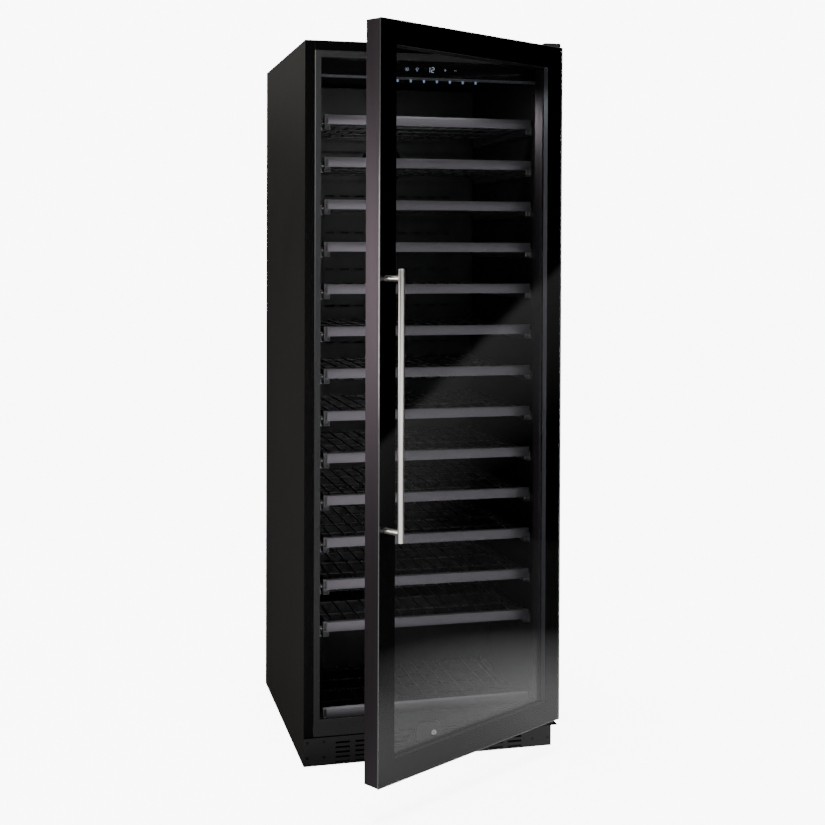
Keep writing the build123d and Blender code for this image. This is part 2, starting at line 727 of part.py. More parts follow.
def make_rack(bottom, end):
    """A shelf's wire rack: two side bars, cross rods, and wires from front to back."""
    front = SHELF_SETBACK + STRIP_DEPTH
    bar_z = bottom + STRIP_SHEET
    bar = block(-shelf_half, BAR_THICK - shelf_half, front, end, bar_z, bar_z + BAR_HEIGHT)
    pieces = [bar, mirrored(bar)]
    rod_z_place = bottom + STRIP_SHEET + ROD_LIFT
    inside = shelf_half - BAR_THICK
    span = end - front - 8 * ROD_RADIUS
    for index in range(ROD_COUNT):
        y = front + 4 * ROD_RADIUS + span * index / (ROD_COUNT - 1)
        pieces.append(rod_x(-inside, inside, y, rod_z_place, ROD_RADIUS))
    wire_z = rod_z_place + ROD_RADIUS + WIRE_RADIUS
    for index in range(wire_count):
        x = (index - (wire_count - 1) / 2) * WIRE_PITCH
        pieces.append(rod_y(x, front, end, wire_z, WIRE_RADIUS))
    return pieces


def make_runner(bottom):
    """The left moving slide: a channel inside the wall rail, joined to the rack by an arm."""
    outer = cavity_half - RAIL_SHEET - RUNNER_CLEARANCE
    inner = cavity_half - RAIL_DEPTH + RUNNER_INSET
    low = bottom - RAIL_DROP + RAIL_SHEET + RUNNER_CLEARANCE
    high = bottom - RAIL_DROP + RAIL_HEIGHT - RAIL_SHEET - RUNNER_CLEARANCE
    channel = block(-outer, -inner, RUNNER_START, shelf_end, low, high)
    channel -= block(
        -outer, -inner - RUNNER_SHEET, RUNNER_START, shelf_end,
        low + RUNNER_SHEET, high - RUNNER_SHEET,
    )
    arm_z = bottom + STRIP_SHEET
    arm = block(-inner, -shelf_half, RUNNER_START, shelf_end, arm_z, arm_z + ARM_THICK)
    return channel + arm


def make_bracket(bottom):
    """The light C-shaped end bracket at the strip's left end."""
    outer = cavity_half - RAIL_DEPTH - BRACKET_GAP
    front = SHELF_SETBACK + BRACKET_SETBACK
    back = SHELF_SETBACK + BRACKET_DEPTH
    top = bottom + STRIP_HEIGHT
    bracket = block(-outer, -shelf_half, front, back, bottom, top)
    return bracket - block(
        -outer + RUNNER_SHEET, -shelf_half, front, back,
        bottom + 2 * RUNNER_SHEET, top - 2 * RUNNER_SHEET,
    )


def make_glide(bottom):
    """The moulded guide block under the strip's left end."""
    outer = cavity_half - RAIL_DEPTH - BRACKET_GAP
    front = SHELF_SETBACK + GLIDE_SETBACK
    return block(
        -outer, GLIDE_WIDTH - outer, front, front + GLIDE_DEPTH, bottom - GLIDE_HEIGHT, bottom
    )


def make_shelf(number):
    """One sliding shelf with its strip, rack, runners, end bracket and guide block."""
    bottom = shelf_bottom(number)
    runner = make_runner(bottom)
    sides = [runner, mirrored(runner), make_bracket(bottom), make_glide(bottom)]
    return group([make_strip(bottom)] + make_rack(bottom, shelf_end) + sides)


def make_bottom_shelf():
    """The fixed shelf on the cavity floor, in front of the step."""
    bottom = cavity_floor + BOTTOM_SHELF_LIFT
    end = hump_front - DUCT_END_GAP
    return group([make_strip(bottom), make_bracket(bottom)] + make_rack(bottom, end))


def make_wall_rail(bottom):
    """The left fixed rail of one shelf: a channel on the cavity wall."""
    low = bottom - RAIL_DROP
    high = low + RAIL_HEIGHT
    inner = cavity_half - RAIL_DEPTH
    rail = block(-cavity_half, -inner, RAIL_START, shelf_end, low, high)
    return rail - block(
        RAIL_SHEET - cavity_half, -inner, RAIL_START, shelf_end,
        low + RAIL_SHEET, high - RAIL_SHEET,
    )


def make_wall_rails():
    """The fixed rails of all the sliding shelves, both sides."""
    rails = []
    for number in range(1, SHELF_COUNT + 1):
        rail = make_wall_rail(shelf_bottom(number))
        rails += [rail, mirrored(rail)]
    return group(rails)


# ---------------------------------------------------------------- machine compartment

def make_compressor():
    """A hermetic compressor: a domed pot on a foot plate, with its terminal box."""
    low = pan_top + MOUNT_HEIGHT
    plate_top = low + FOOT_PLATE
    pot = rod_z(compressor_x, bay_middle, plate_top, low + COMPRESSOR_HEIGHT, COMPRESSOR_RADIUS)
    pot = fillet(pot.edges().group_by(Axis.Z)[-1], COMPRESSOR_RADIUS * 0.55)
    pot = fillet(pot.edges().group_by(Axis.Z)[0], COMPRESSOR_RADIUS * 0.25)
    plate = block(
        compressor_x - mount_half_x, compressor_x + mount_half_x,
        bay_middle - COMPRESSOR_RADIUS, bay_middle + COMPRESSOR_RADIUS, low, plate_top,
    )
    for x, y in mount_places():
        plate -= rod_z(x, y, low, plate_top, SCREW_RADIUS + 1)
    box_x = compressor_x + COMPRESSOR_RADIUS
    box = block(
        box_x - TERMINAL_DEPTH / 2, box_x + TERMINAL_DEPTH,
        bay_middle - TERMINAL_HALF_WIDTH, bay_middle + TERMINAL_HALF_WIDTH,
        low + TERMINAL_LOW, low + TERMINAL_HIGH,
    )
    return pot + plate + box


def mount_places():
    """The compressor's four mounts."""
    x = mount_half_x - MOUNT_RADIUS
    y = COMPRESSOR_RADIUS - MOUNT_RADIUS
    return [(compressor_x + sx * x, bay_middle + sy * y) for sx in (-1, 1) for sy in (-1, 1)]


def make_compressor_mounts():
    """The rubber mounts between the compressor's foot plate and the base pan."""
    mounts = []
    for x, y in mount_places():
        mount = rod_z(x, y, pan_top, pan_top + MOUNT_HEIGHT, MOUNT_RADIUS)
        groove = Pos(x, y, pan_top + MOUNT_HEIGHT / 2) * Torus(MOUNT_RADIUS + 1, MOUNT_RADIUS / 3)
        mounts.append(mount - groove)
    return group(mounts)


def make_condenser():
    """The condenser: rows of serpentine tube between two end plates."""
    z = pan_top + PAN_EDGE
    row_places = [
        condenser_fan_y - CONDENSER_FAN_GAP - CONDENSER_ROW_PITCH * row
        for row in range(CONDENSER_ROWS)
    ]
    rows = []
    for y in row_places:
        tube = serpentine(CONDENSER_WIDTH, CONDENSER_PASSES, CONDENSER_PITCH, TUBE_RADIUS, y)
        rows.append(Pos(condenser_x, 0, z) * tube)
    front = row_places[-1] - PLATE_MARGIN
    back = row_places[0] + PLATE_MARGIN
    high = z + (CONDENSER_PASSES - 1) * CONDENSER_PITCH + PLATE_MARGIN
    plates = []
    for side in (-1, 1):
        x = condenser_x + side * (CONDENSER_WIDTH / 2 - PLATE_INSET)
        plate = block(x - PLATE_SHEET / 2, x + PLATE_SHEET / 2, front, back, pan_top, high)
        for y in row_places:
            for index in range(CONDENSER_PASSES):
                hole_z = z + index * CONDENSER_PITCH
                hole = TUBE_RADIUS + PIN_CLEARANCE
                plate -= rod_x(x - PLATE_SHEET, x + PLATE_SHEET, y, hole_z, hole)
        plates.append(plate)
    return group(rows + plates)


def make_drip_tray():
    """The tray over the compressor that catches and evaporates condensate."""
    low = pan_top + MOUNT_HEIGHT + COMPRESSOR_HEIGHT + JOINT
    high = low + TRAY_HEIGHT
    x0, x1 = compressor_x - TRAY_HALF_WIDTH, compressor_x + TRAY_HALF_WIDTH
    y0, y1 = bay_middle - TRAY_HALF_DEPTH, bay_middle + TRAY_HALF_DEPTH
    wall = TRAY_WALL
    hollow = block(x0 + wall, x1 - wall, y0 + wall, y1 - wall, low + wall, high)
    return block(x0, x1, y0, y1, low, high) - hollow


def make_filter_drier():
    """The copper filter drier on its side, with a stub of tube at each end."""
    y = bay_front + DRIER_INSET
    z = pan_top + DRIER_LIFT
    body = rod_x(DRIER_START, DRIER_END, y, z, DRIER_RADIUS)
    body = fillet(body.edges().filter_by(GeomType.CIRCLE), DRIER_RADIUS / 2)
    return body + rod_x(DRIER_START - DRIER_STUB, DRIER_END + DRIER_STUB, y, z, TUBE_RADIUS / 2)


# ---------------------------------------------------------------- door, made closed

def ring(margin, width, y0, y1):
    """A rectangular ring on the door, a margin in from the glass edge."""
    outer = door_half - margin
    low = door_bottom + margin
    high = door_top - margin
    body = block(-outer, outer, y0, y1, low, high)
    inner = outer - width
    return body - block(-inner, inner, y0 - 1, y1 + 1, low + width, high - width)


def make_frame_ring():
    """The hollow frame section, all the way round, before it is cut at its mitres."""
    body = ring(GLASS_EDGE, RAIL_WIDTH - GLASS_EDGE, frame_front, door_back)
    rebate_inset = RAIL_WIDTH - REBATE_WIDTH
    body -= ring(rebate_inset, REBATE_WIDTH, frame_front - 1, frame_front + REBATE_DEPTH)
    wall = FRAME_WALL
    front_void = ring(
        GLASS_EDGE + wall, rebate_inset - GLASS_EDGE - 2 * wall,
        frame_front + wall, door_back - wall,
    )
    back_void = ring(
        GLASS_EDGE + wall, RAIL_WIDTH - GLASS_EDGE - 2 * wall,
        frame_front + REBATE_DEPTH + wall, door_back - wall,
    )
    return body - front_void - back_void


def mitre_wedge(side):
    """The zone of one frame member, between the mitres at its two ends."""
    outer_x = door_half - GLASS_EDGE
    inner_x = door_half - RAIL_WIDTH
    low = door_bottom + GLASS_EDGE
    high = door_top - GLASS_EDGE
    reach = RAIL_WIDTH - GLASS_EDGE
    if side in ("left", "right"):
        sign = -1 if side == "left" else 1
        low += MITRE_GAP
        high -= MITRE_GAP
        corners = [(sign * outer_x, low), (sign * inner_x, low + reach)]
        corners += [(sign * inner_x, high - reach), (sign * outer_x, high)]
    else:
        edge, inside = (low, low + reach) if side == "bottom" else (high, high - reach)
        corners = [(-outer_x, edge), (-inner_x, inside), (inner_x, inside), (outer_x, edge)]
    face = make_face(Polyline(*[(x, 0, z) for x, z in corners], close=True))
    slab = extrude(face, amount=2 * DOOR_THICK + DOOR_GAP, dir=(0, 1, 0))
    return Pos(0, -2 * DOOR_THICK, 0) * slab


def make_door_frame():
    """Four mitred aluminium members, with holes for the hinge bushes and handle screws."""
    body = make_frame_ring()
    body -= rod_z(hinge_x, hinge_y, door_bottom, door_bottom + 2 * PIN_DEPTH, BUSH_RADIUS)
    body -= rod_z(hinge_x, hinge_y, door_top - 2 * PIN_DEPTH, door_top, BUSH_RADIUS)
    for z in post_heights():
        hole = HANDLE_SCREW_RADIUS + PIN_CLEARANCE
        body -= rod_y(handle_x, frame_front - 1, frame_front + FRAME_WALL + 1, z, hole)
    return group([body & mitre_wedge(side) for side in ("left", "right", "bottom", "top")])


def make_outer_glass():
    """The full-size front pane, drilled for the handle screws."""
    pane = block(-door_half, door_half, door_front, glass_back, door_bottom, door_top)
    for z in post_heights():
        pane -= rod_y(
            handle_x, door_front - 1, frame_front + 1, z, HANDLE_SCREW_RADIUS + PIN_CLEARANCE
        )
    return pane


def make_inner_glass():
    """The inner pane of the sealed double glazing."""
    margin = RAIL_WIDTH - REBATE_WIDTH + PANE_EDGE
    half = door_half - margin
    back = frame_front + REBATE_DEPTH - BOND
    return block(-half, half, back - GLASS, back, door_bottom + margin, door_top - margin)


def make_spacer():
    """The spacer bar between the panes, round the window."""
    back = frame_front + REBATE_DEPTH - GLASS - 2 * BOND
    return ring(RAIL_WIDTH - SPACER_WIDTH, SPACER_WIDTH, frame_front, back)


def make_gasket():
    """The magnetic door seal, at the height it has when the door is shut."""
    height = DOOR_GAP - LIP_PROUD - GASKET_CLEARANCE
    base = ring(GASKET_INSET, GASKET_WIDTH, door_back + BOND, door_back + height)
    groove = ring(
        GASKET_INSET + GASKET_WIDTH / 4, GASKET_WIDTH / 2,
        door_back + height / 2, door_back + height,
    )
    return base - groove


def post_heights():
    """Heights of the two handle posts."""
    return (door_middle - POST_SPACING / 2, door_middle + POST_SPACING / 2)


def make_handle_bar():
    """The round handle bar with eased ends."""
    half = BAR_LENGTH / 2
    bar = rod_z(handle_x, bar_y, door_middle - half, door_middle + half, BAR_RADIUS)
    return chamfer(bar.edges().filter_by(GeomType.CIRCLE), 0.8)


def make_handle_posts():
    """The two handle posts, saddled to the bar and drilled for their screws."""
    bar = rod_z(handle_x, bar_y, door_bottom, door_top, BAR_RADIUS)
    posts = []
    for z in post_heights():
        post = rod_y(handle_x, bar_y, door_front - BOND, z, POST_RADIUS) - bar
        hole_end = door_front - HANDLE_SCREW_DEPTH
        posts.append(post - rod_y(handle_x, hole_end, door_front + 1, z, HANDLE_SCREW_RADIUS))
    return group(posts)


def make_handle_screws():
    """The two screws that hold the handle posts from inside the frame."""
    seat = frame_front + FRAME_WALL + BOND
    screws = []
    for z in post_heights():
        head = rod_y(handle_x, seat, seat + 3, z, HANDLE_SCREW_HEAD)
        tip = door_front - HANDLE_SCREW_DEPTH
        screws.append(head + rod_y(handle_x, tip, seat, z, HANDLE_SCREW_RADIUS))
    return group(screws)


def make_bushes():
    """The door's two plastic hinge bushes; the lower one carries the door on its flange."""
    bore = PIN_RADIUS + PIN_CLEARANCE
    sleeve = BUSH_RADIUS - BUSH_FIT
    lower = rod_z(hinge_x, hinge_y, door_bottom - 2 * BOND, door_bottom + PIN_DEPTH + 2, sleeve)
    lower += rod_z(hinge_x, hinge_y, hinge_seat + BUSH_CLEARANCE, door_bottom - BOND, BUSH_FLANGE)
    lower -= rod_z(hinge_x, hinge_y, hinge_seat, door_bottom + PIN_DEPTH + 1, bore)
    upper = rod_z(hinge_x, hinge_y, door_top - PIN_DEPTH - 2, door_top, sleeve)
    upper -= rod_z(hinge_x, hinge_y, door_top - PIN_DEPTH - 1, door_top + 1, bore)
    return group([lower, upper])


def open_door(shape):
    """Turn a door piece from closed to where the door is stored."""
    there = Pos(hinge_x, hinge_y, 0)
    back = Pos(-hinge_x, -hinge_y, 0)
    return there * Rot(0, 0, DOOR_REST_ANGLE) * back * shape


# ---------------------------------------------------------------- hinges and lock

def make_top_hinge():
    """The upper hinge: a plate on the cabinet's top that carries the pin."""
    low = CABINET_HEIGHT
    left = hinge_x + HINGE_PLATE_REACH - HINGE_PLATE_WIDTH
    right = hinge_x + HINGE_PLATE_REACH
    front = hinge_y - HINGE_PLATE_REACH
    plate = block(left, right, front, HINGE_PLATE_BACK, low, low + HINGE_PLATE)
    plate = fillet(plate.edges().filter_by(Axis.Z), HINGE_CORNER)
    return plate + rod_z(hinge_x, hinge_y, door_top - PIN_DEPTH, low, PIN_RADIUS)


def make_hinge_cover():
    """The cap over the upper hinge."""
    low = CABINET_HEIGHT
    left = hinge_x + HINGE_PLATE_REACH - HINGE_PLATE_WIDTH
    right = hinge_x + HINGE_PLATE_REACH
    wall = HINGE_COVER_WALL
    front = hinge_y - HINGE_PLATE_REACH
    back = HINGE_PLATE_BACK
    top = low + HINGE_COVER_HEIGHT
    cap = block(left - wall, right + wall, front - wall, back + wall, low, top)
    cap = fillet(cap.edges().filter_by(Axis.Z), HINGE_CORNER + wall)
    cap = fillet(cap.edges().group_by(Axis.Z)[-1], 0.75 * wall)
    inside = block(left, right, front, back, low, top - wall)
    return cap - fillet(inside.edges().filter_by(Axis.Z), HINGE_CORNER)


def make_bottom_hinge():
    """The lower hinge: an angle behind the plinth that carries the pin under the door."""
    left = hinge_x + HINGE_PLATE_REACH - HINGE_PLATE_WIDTH
    right = hinge_x + HINGE_PLATE_REACH
    front = hinge_y - HINGE_PLATE_REACH
    back = PLINTH_SHEET + JOINT + PAN_SHEET + JOINT
    plate = block(left, right, front, back + HINGE_PLATE, hinge_seat - HINGE_PLATE, hinge_seat)
    leg = block(left, right, back, back + HINGE_PLATE, pan_top + PAN_EDGE + JOINT, hinge_seat)
    for x, z in screw_places():
        leg -= rod_y(x, back - 1, back + HINGE_PLATE + 1, z, SCREW_RADIUS + PIN_CLEARANCE)
    return plate + leg + rod_z(hinge_x, hinge_y, hinge_seat, door_bottom + PIN_DEPTH, PIN_RADIUS)


def make_lock_housing():
    """The lock's body in the middle of the plinth, with a slot for its tongue."""
    body = lock_outline(0, -LOCK_PROUD, PLINTH_SHEET)
    body -= rod_y(BARREL_X, -2 * LOCK_PROUD, PAN_EDGE, barrel_z, BARREL_RADIUS + BARREL_CLEARANCE)
    reach = TONGUE_LENGTH + BARREL_RADIUS
    y0 = -LOCK_PROUD / 2 - TONGUE_THICK / 2 - TONGUE_CLEARANCE
    y1 = -LOCK_PROUD / 2 + TONGUE_THICK / 2 + TONGUE_CLEARANCE
    sweep_zone = rod_y(BARREL_X, y0, y1, barrel_z, reach)
    width = TONGUE_WIDTH / 2 + TONGUE_CLEARANCE
    quarter = block(
        BARREL_X - reach, BARREL_X + width, y0, y1, barrel_z - width, barrel_z + reach
    )
    return body - (sweep_zone & quarter)


def make_lock_barrel():
    """The lock's barrel with its key slot and tongue, unlocked: the tongue lies to the left."""
    barrel = rod_y(BARREL_X, -LOCK_PROUD - 0.5, PLINTH_SHEET + 8, barrel_z, BARREL_RADIUS)
    barrel -= Pos(BARREL_X, -LOCK_PROUD, barrel_z) * Box(1.6, 4, 7)
    y0 = -LOCK_PROUD / 2 - TONGUE_THICK / 2
    half = TONGUE_WIDTH / 2
    tip = BARREL_X - TONGUE_LENGTH
    tongue = block(tip, BARREL_X, y0, y0 + TONGUE_THICK, barrel_z - half, barrel_z + half)
    return barrel + tongue


# ---------------------------------------------------------------- write the nodes

left_side = make_side_panel()
save("side_panel_left", left_side)
save("side_panel_right", mirrored(left_side))
save("top_panel", make_top_panel())
save("back_panel", make_back_panel())
save("rear_grille", make_rear_grille())
save("mains_inlet", make_mains_inlet())
save("base_pan", make_base_pan())
save("insulation_foam", make_foam())
save("inner_liner", make_liner())
save("lower_fascia", make_fascia())
save("plinth_grille", make_plinth())
save("plinth_screws", make_plinth_screws())
for foot, (foot_x, foot_y) in foot_places().items():
    save(foot, make_foot(foot_x, foot_y))

save("control_panel", make_control_panel())
save("display_window", display_block(BUSH_CLEARANCE))
save("lamp_bar", make_lamp_bar())
save("lamp_lenses", make_lamp_lenses())
save("duct_cover", make_duct_cover())
save("evaporator", make_evaporator())
save("circulation_fan_frame", make_fan_frame(0, duct_fan_y, fan_z))
save("circulation_fan_rotor", make_fan_rotor(0, duct_fan_y, fan_z))
save("wall_rails", make_wall_rails())
save("bottom_shelf", make_bottom_shelf())
for shelf_number in range(1, SHELF_COUNT + 1):
    save("shelf_%02d" % shelf_number, make_shelf(shelf_number))

save("compressor", make_compressor())
save("compressor_mounts", make_compressor_mounts())
save("condenser", make_condenser())
save("condenser_fan_frame", make_fan_frame(condenser_x, condenser_fan_y, condenser_fan_z))
save("condenser_fan_rotor", make_fan_rotor(condenser_x, condenser_fan_y, condenser_fan_z))
save("drip_tray", make_drip_tray())
save("filter_drier", make_filter_drier())

save("door_frame", open_door(make_door_frame()))
save("door_outer_glass", open_door(make_outer_glass()))
save("door_inner_glass", open_door(make_inner_glass()))
save("glass_spacer", open_door(make_spacer()))
save("door_gasket", open_door(make_gasket()))
save("handle_bar", open_door(make_handle_bar()))
save("handle_posts", open_door(make_handle_posts()))
save("handle_screws", open_door(make_handle_screws()))
save("hinge_bushes", open_door(make_bushes()))
save("top_hinge", make_top_hinge())
save("hinge_cover", make_hinge_cover())
save("bottom_hinge", make_bottom_hinge())
save("lock_housing", make_lock_housing())
save("lock_barrel", make_lock_barrel())
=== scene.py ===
# %% [markdown]
# A tall wine cooler with a glass door, standing on a pale floor. The cabinet, door, shelves and
# fans come in as a finished frame with every size settled. What is made here is what the eye
# judges: glass, brushed metal, folded sheet, wires, the seal, the lamps and the display.
# We load the frame first, because every piece below takes its place from it.

import json
import math

import bmesh
import bpy
from mathutils import Matrix, Vector

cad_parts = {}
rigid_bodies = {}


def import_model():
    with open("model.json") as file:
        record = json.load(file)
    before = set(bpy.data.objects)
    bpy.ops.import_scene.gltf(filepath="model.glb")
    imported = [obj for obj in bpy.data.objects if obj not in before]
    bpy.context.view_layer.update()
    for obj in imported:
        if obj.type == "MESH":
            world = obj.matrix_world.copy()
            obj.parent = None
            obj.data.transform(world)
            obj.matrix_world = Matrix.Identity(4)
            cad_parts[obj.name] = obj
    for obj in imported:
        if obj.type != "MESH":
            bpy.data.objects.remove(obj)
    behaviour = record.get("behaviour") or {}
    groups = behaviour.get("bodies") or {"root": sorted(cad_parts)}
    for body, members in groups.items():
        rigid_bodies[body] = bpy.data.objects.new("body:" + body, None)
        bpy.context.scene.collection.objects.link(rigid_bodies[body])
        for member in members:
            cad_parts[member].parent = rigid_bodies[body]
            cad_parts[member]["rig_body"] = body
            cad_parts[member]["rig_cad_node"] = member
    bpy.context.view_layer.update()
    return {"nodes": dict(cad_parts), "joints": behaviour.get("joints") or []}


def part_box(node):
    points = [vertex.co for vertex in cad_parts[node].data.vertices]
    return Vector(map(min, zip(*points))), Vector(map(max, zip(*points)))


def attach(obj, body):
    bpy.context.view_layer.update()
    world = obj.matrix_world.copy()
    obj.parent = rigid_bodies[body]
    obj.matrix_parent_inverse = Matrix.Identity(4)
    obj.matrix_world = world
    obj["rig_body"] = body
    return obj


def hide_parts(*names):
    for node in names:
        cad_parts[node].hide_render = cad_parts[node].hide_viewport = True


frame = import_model()
nodes = frame["nodes"]
joints = {joint["name"]: joint for joint in frame["joints"]}

# %% [markdown]
# Modelling by hand in Blender is a small set of moves: add a primitive, step into edit mode,
# pick faces or edges by where they are, and extrude, inset or bevel them. These helpers name
# those moves once. Every operator works on what is selected, so each one starts by clearing.

# %% Small tools for modelling
MM = 0.001


def clear():
    """Leave edit mode and select nothing."""
    if bpy.context.object and bpy.context.object.mode != "OBJECT":
        bpy.ops.object.mode_set(mode="OBJECT")
    bpy.ops.object.select_all(action="DESELECT")


def take(piece):
    """Make one piece the selected and active one."""
    clear()
    piece.select_set(True)
    bpy.context.view_layer.objects.active = piece
    return piece


def settle(name):
    """Name the new primitive and put its place into its mesh."""
    piece = bpy.context.object
    bpy.ops.object.transform_apply(location=True, rotation=True, scale=True)
    piece.name = name
    piece.data.name = name
    return piece


def block(name, low, high):
    """Start a piece from a box between two corners."""
    clear()
    low, high = Vector(low), Vector(high)
    bpy.ops.mesh.primitive_cube_add(size=1, location=(low + high) / 2)
    bpy.context.object.scale = high - low
    return settle(name)


def rod(name, start, end, radius, sides=24):
    """Start a piece from a round bar between two points."""
    clear()
    start, end = Vector(start), Vector(end)
    along = end - start
    bpy.ops.mesh.primitive_cylinder_add(
        vertices=sides, radius=radius, depth=along.length, location=(start + end) / 2
    )
    bpy.context.object.rotation_mode = "QUATERNION"
    bpy.context.object.rotation_quaternion = along.to_track_quat("Z", "Y")
    return settle(name)


def edit(piece, mode, test):
    """Step into edit mode with only the faces or edges that pass a test selected."""
    take(piece)
    bpy.ops.object.mode_set(mode="EDIT")
    bpy.ops.mesh.select_mode(type=mode)
    bpy.ops.mesh.select_all(action="DESELECT")
    mesh = bmesh.from_edit_mesh(piece.data)
    chosen = [part for part in (mesh.faces if mode == "FACE" else mesh.edges) if test(part)]
    for part in chosen:
        part.select_set(True)
    bmesh.update_edit_mesh(piece.data)
    return len(chosen)


def facing(axis, sign):
    """A test for faces that look along one axis."""
    return lambda face: face.normal[axis] * sign > 0.9


def along(axis):
    """A test for edges that run along one axis."""
    def test(edge):
        run = (edge.verts[1].co - edge.verts[0].co).normalized()
        return abs(run[axis]) > 0.99
    return test


def modify(piece, kind, **settings):
    """Add one modifier, set it and apply it."""
    take(piece)
    modifier = piece.modifiers.new(kind.lower(), kind)
    for name, value in settings.items():
        setattr(modifier, name, value)
    bpy.ops.object.modifier_apply(modifier=modifier.name)
    return piece


def ease(piece, width, segments=2, angle=30, smooth=30):
    """Round every edge sharper than an angle, and shade what turns less than smooth degrees."""
    modify(
        piece, "BEVEL", width=width, segments=segments, limit_method="ANGLE",
        angle_limit=math.radians(angle), harden_normals=False,
    )
    take(piece)
    bpy.ops.object.shade_smooth_by_angle(angle=math.radians(smooth))
    return piece


def join(name, pieces):
    """Make several meshes one piece."""
    clear()
    for piece in pieces:
        piece.select_set(True)
    bpy.context.view_layer.objects.active = pieces[0]
    bpy.ops.object.join()
    return settle(name)


def copy_of(piece, name, shift=(0, 0, 0)):
    """A copy with its own mesh, moved."""
    made = piece.copy()
    made.data = piece.data.copy()
    bpy.context.collection.objects.link(made)
    made.data.transform(Matrix.Translation(shift))
    made.name = name
    made.data.name = name
    return made


def cad_copy(node, name):
    """A clean copy of a CAD node's mesh, with its loose triangles merged into flat faces."""
    made = nodes[node].copy()
    made.data = nodes[node].data.copy()
    made.parent = None
    bpy.context.collection.objects.link(made)
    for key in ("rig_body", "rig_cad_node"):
        del made[key]
    take(made)
    if made.data.has_custom_normals:
        bpy.ops.mesh.customdata_custom_splitnormals_clear()
    bpy.ops.object.mode_set(mode="EDIT")
    bpy.ops.mesh.select_all(action="SELECT")
    bpy.ops.mesh.remove_doubles(threshold=0.01 * MM)
    bpy.ops.mesh.dissolve_limited(angle_limit=math.radians(1))
    bpy.ops.object.mode_set(mode="OBJECT")
    made.name = name
    made.data.name = name
    return made


# %% [markdown]
# A material is a graph of nodes, and a graph is tiresome to read as code. Wrapping each socket
# in a small class lets the maths be written as ordinary expressions, such as 0.3 + 0.1 * grain,
# and one method makes every other kind of node.

# %% Shader sockets as values
class Value:
    """A number that comes out of a node, for use in expressions."""

    def __init__(self, finish, socket):
        self.finish, self.socket = finish, socket

    def math(self, operation, *values):
        """The result of one arithmetic node."""
        return self.finish.node("Math", {"operation": operation}, dict(enumerate(values)))

    def __add__(self, other):
        return self.math("ADD", self, other)

    def __sub__(self, other):
        return self.math("SUBTRACT", self, other)

    def __rsub__(self, other):
        return self.math("SUBTRACT", other, self)

    def __mul__(self, other):
        return self.math("MULTIPLY", self, other)

    def __gt__(self, other):
        return self.math("GREATER_THAN", self, other)

    __radd__ = __add__
    __rmul__ = __mul__

    def clamp(self):
        """Held between nought and one."""
        return self.math("MINIMUM", self.math("MAXIMUM", self, 0.0), 1.0)

    def size(self):
        """Without its sign."""
        return self.math("ABSOLUTE", self)


class Finish:
    """One material, built node by node."""

    def __init__(self, name):
        self.material = bpy.data.materials.new(name)
        self.material.use_nodes = True
        self.tree = self.material.node_tree
        self.tree.nodes.clear()
        self.output = self.tree.nodes.new("ShaderNodeOutputMaterial")

    def plug(self, socket, value):
        """Link a value into a socket, or set the socket to a constant."""
        if isinstance(value, Value):
            self.tree.links.new(value.socket, socket)
        else:
            socket.default_value = value

    def node(self, kind, settings=None, inputs=None, out=0):
        """Any other kind of node, as the value of one of its outputs."""
        made = self.tree.nodes.new("ShaderNode" + kind)
        for name, value in (settings or {}).items():
            if name == "stops":
                ramp = made.color_ramp
                while len(ramp.elements) < len(value):
                    ramp.elements.new(0.5)
                for element, (place, shade) in zip(ramp.elements, value):
                    element.position = place
                    element.color = (*shade, 1)
            else:
                setattr(made, name, value)
        for name, value in (inputs or {}).items():
            self.plug(made.inputs[name], value)
        return Value(self, made.outputs[out])

    def place(self, turn=0.0, centre=(0, 0, 0), scale=(1, 1, 1)):
        """Object coordinates, turned about a point and then scaled."""
        here = self.node("TexCoord", out="Object")
        back = Matrix.Rotation(turn, 3, "Z") @ Vector(centre)
        turned = self.node("Mapping", {}, {
            "Vector": here, "Rotation": (0, 0, turn), "Location": Vector(centre) - back,
        })
        return self.node("Mapping", {}, {"Vector": turned, "Scale": scale})

    def axis(self, name, vector=None):
        """One coordinate of a place."""
        return self.node("SeparateXYZ", {}, {0: vector or self.place()}, out=name)

    def noise(self, vector, scale, detail=3.0, rough=0.5):
        """Soft random cloud between nought and one."""
        return self.node("TexNoise", {}, {
            "Vector": vector, "Scale": scale, "Detail": detail, "Roughness": rough,
        })

    def mix(self, factor, first, second):
        """Blend two colours."""
        made = self.tree.nodes.new("ShaderNodeMix")
        made.data_type = "RGBA"
        self.plug(made.inputs["Factor"], factor)
        for key, shade in (("A", first), ("B", second)):
            socket = next(s for s in made.inputs if s.name == key and s.type == "RGBA")
            self.plug(socket, (*shade, 1) if isinstance(shade, tuple) else shade)
        return Value(self, next(s for s in made.outputs if s.type == "RGBA"))

    def bump(self, height, strength, distance):
        """A normal that follows a height."""
        return self.node("Bump", {}, {
            "Height": height, "Strength": strength, "Distance": distance,
        })

    def surface(self, **inputs):
        """The main shader. Names use an underscore for a space."""
        shader = self.node("BsdfPrincipled", {}, {
            key.replace("_", " "): value for key, value in inputs.items()
        })
        self.tree.links.new(shader.socket, self.output.inputs["Surface"])
        return self


def paint(piece, finish):
    """Put one finish on every slot of a piece."""
    if not piece.material_slots:
        piece.data.materials.append(finish.material)
    for slot in piece.material_slots:
        slot.material = finish.material
    return piece


# %% [markdown]
# The camera stands in front of the cooler and a little to its left, at chest height, with a
# long lens. The lens is almost level and shifted down, so that uprights stay upright.

# %% Camera
CAMERA_PLACE = Vector((-0.8133, -3.0393, 1.1861))
CAMERA_YAW = math.radians(14.162)
CAMERA_PITCH = math.radians(-0.915)
CAMERA_ROLL = math.radians(0.210)
CAMERA_LENS = 59.36
CAMERA_SHIFT = -0.1741

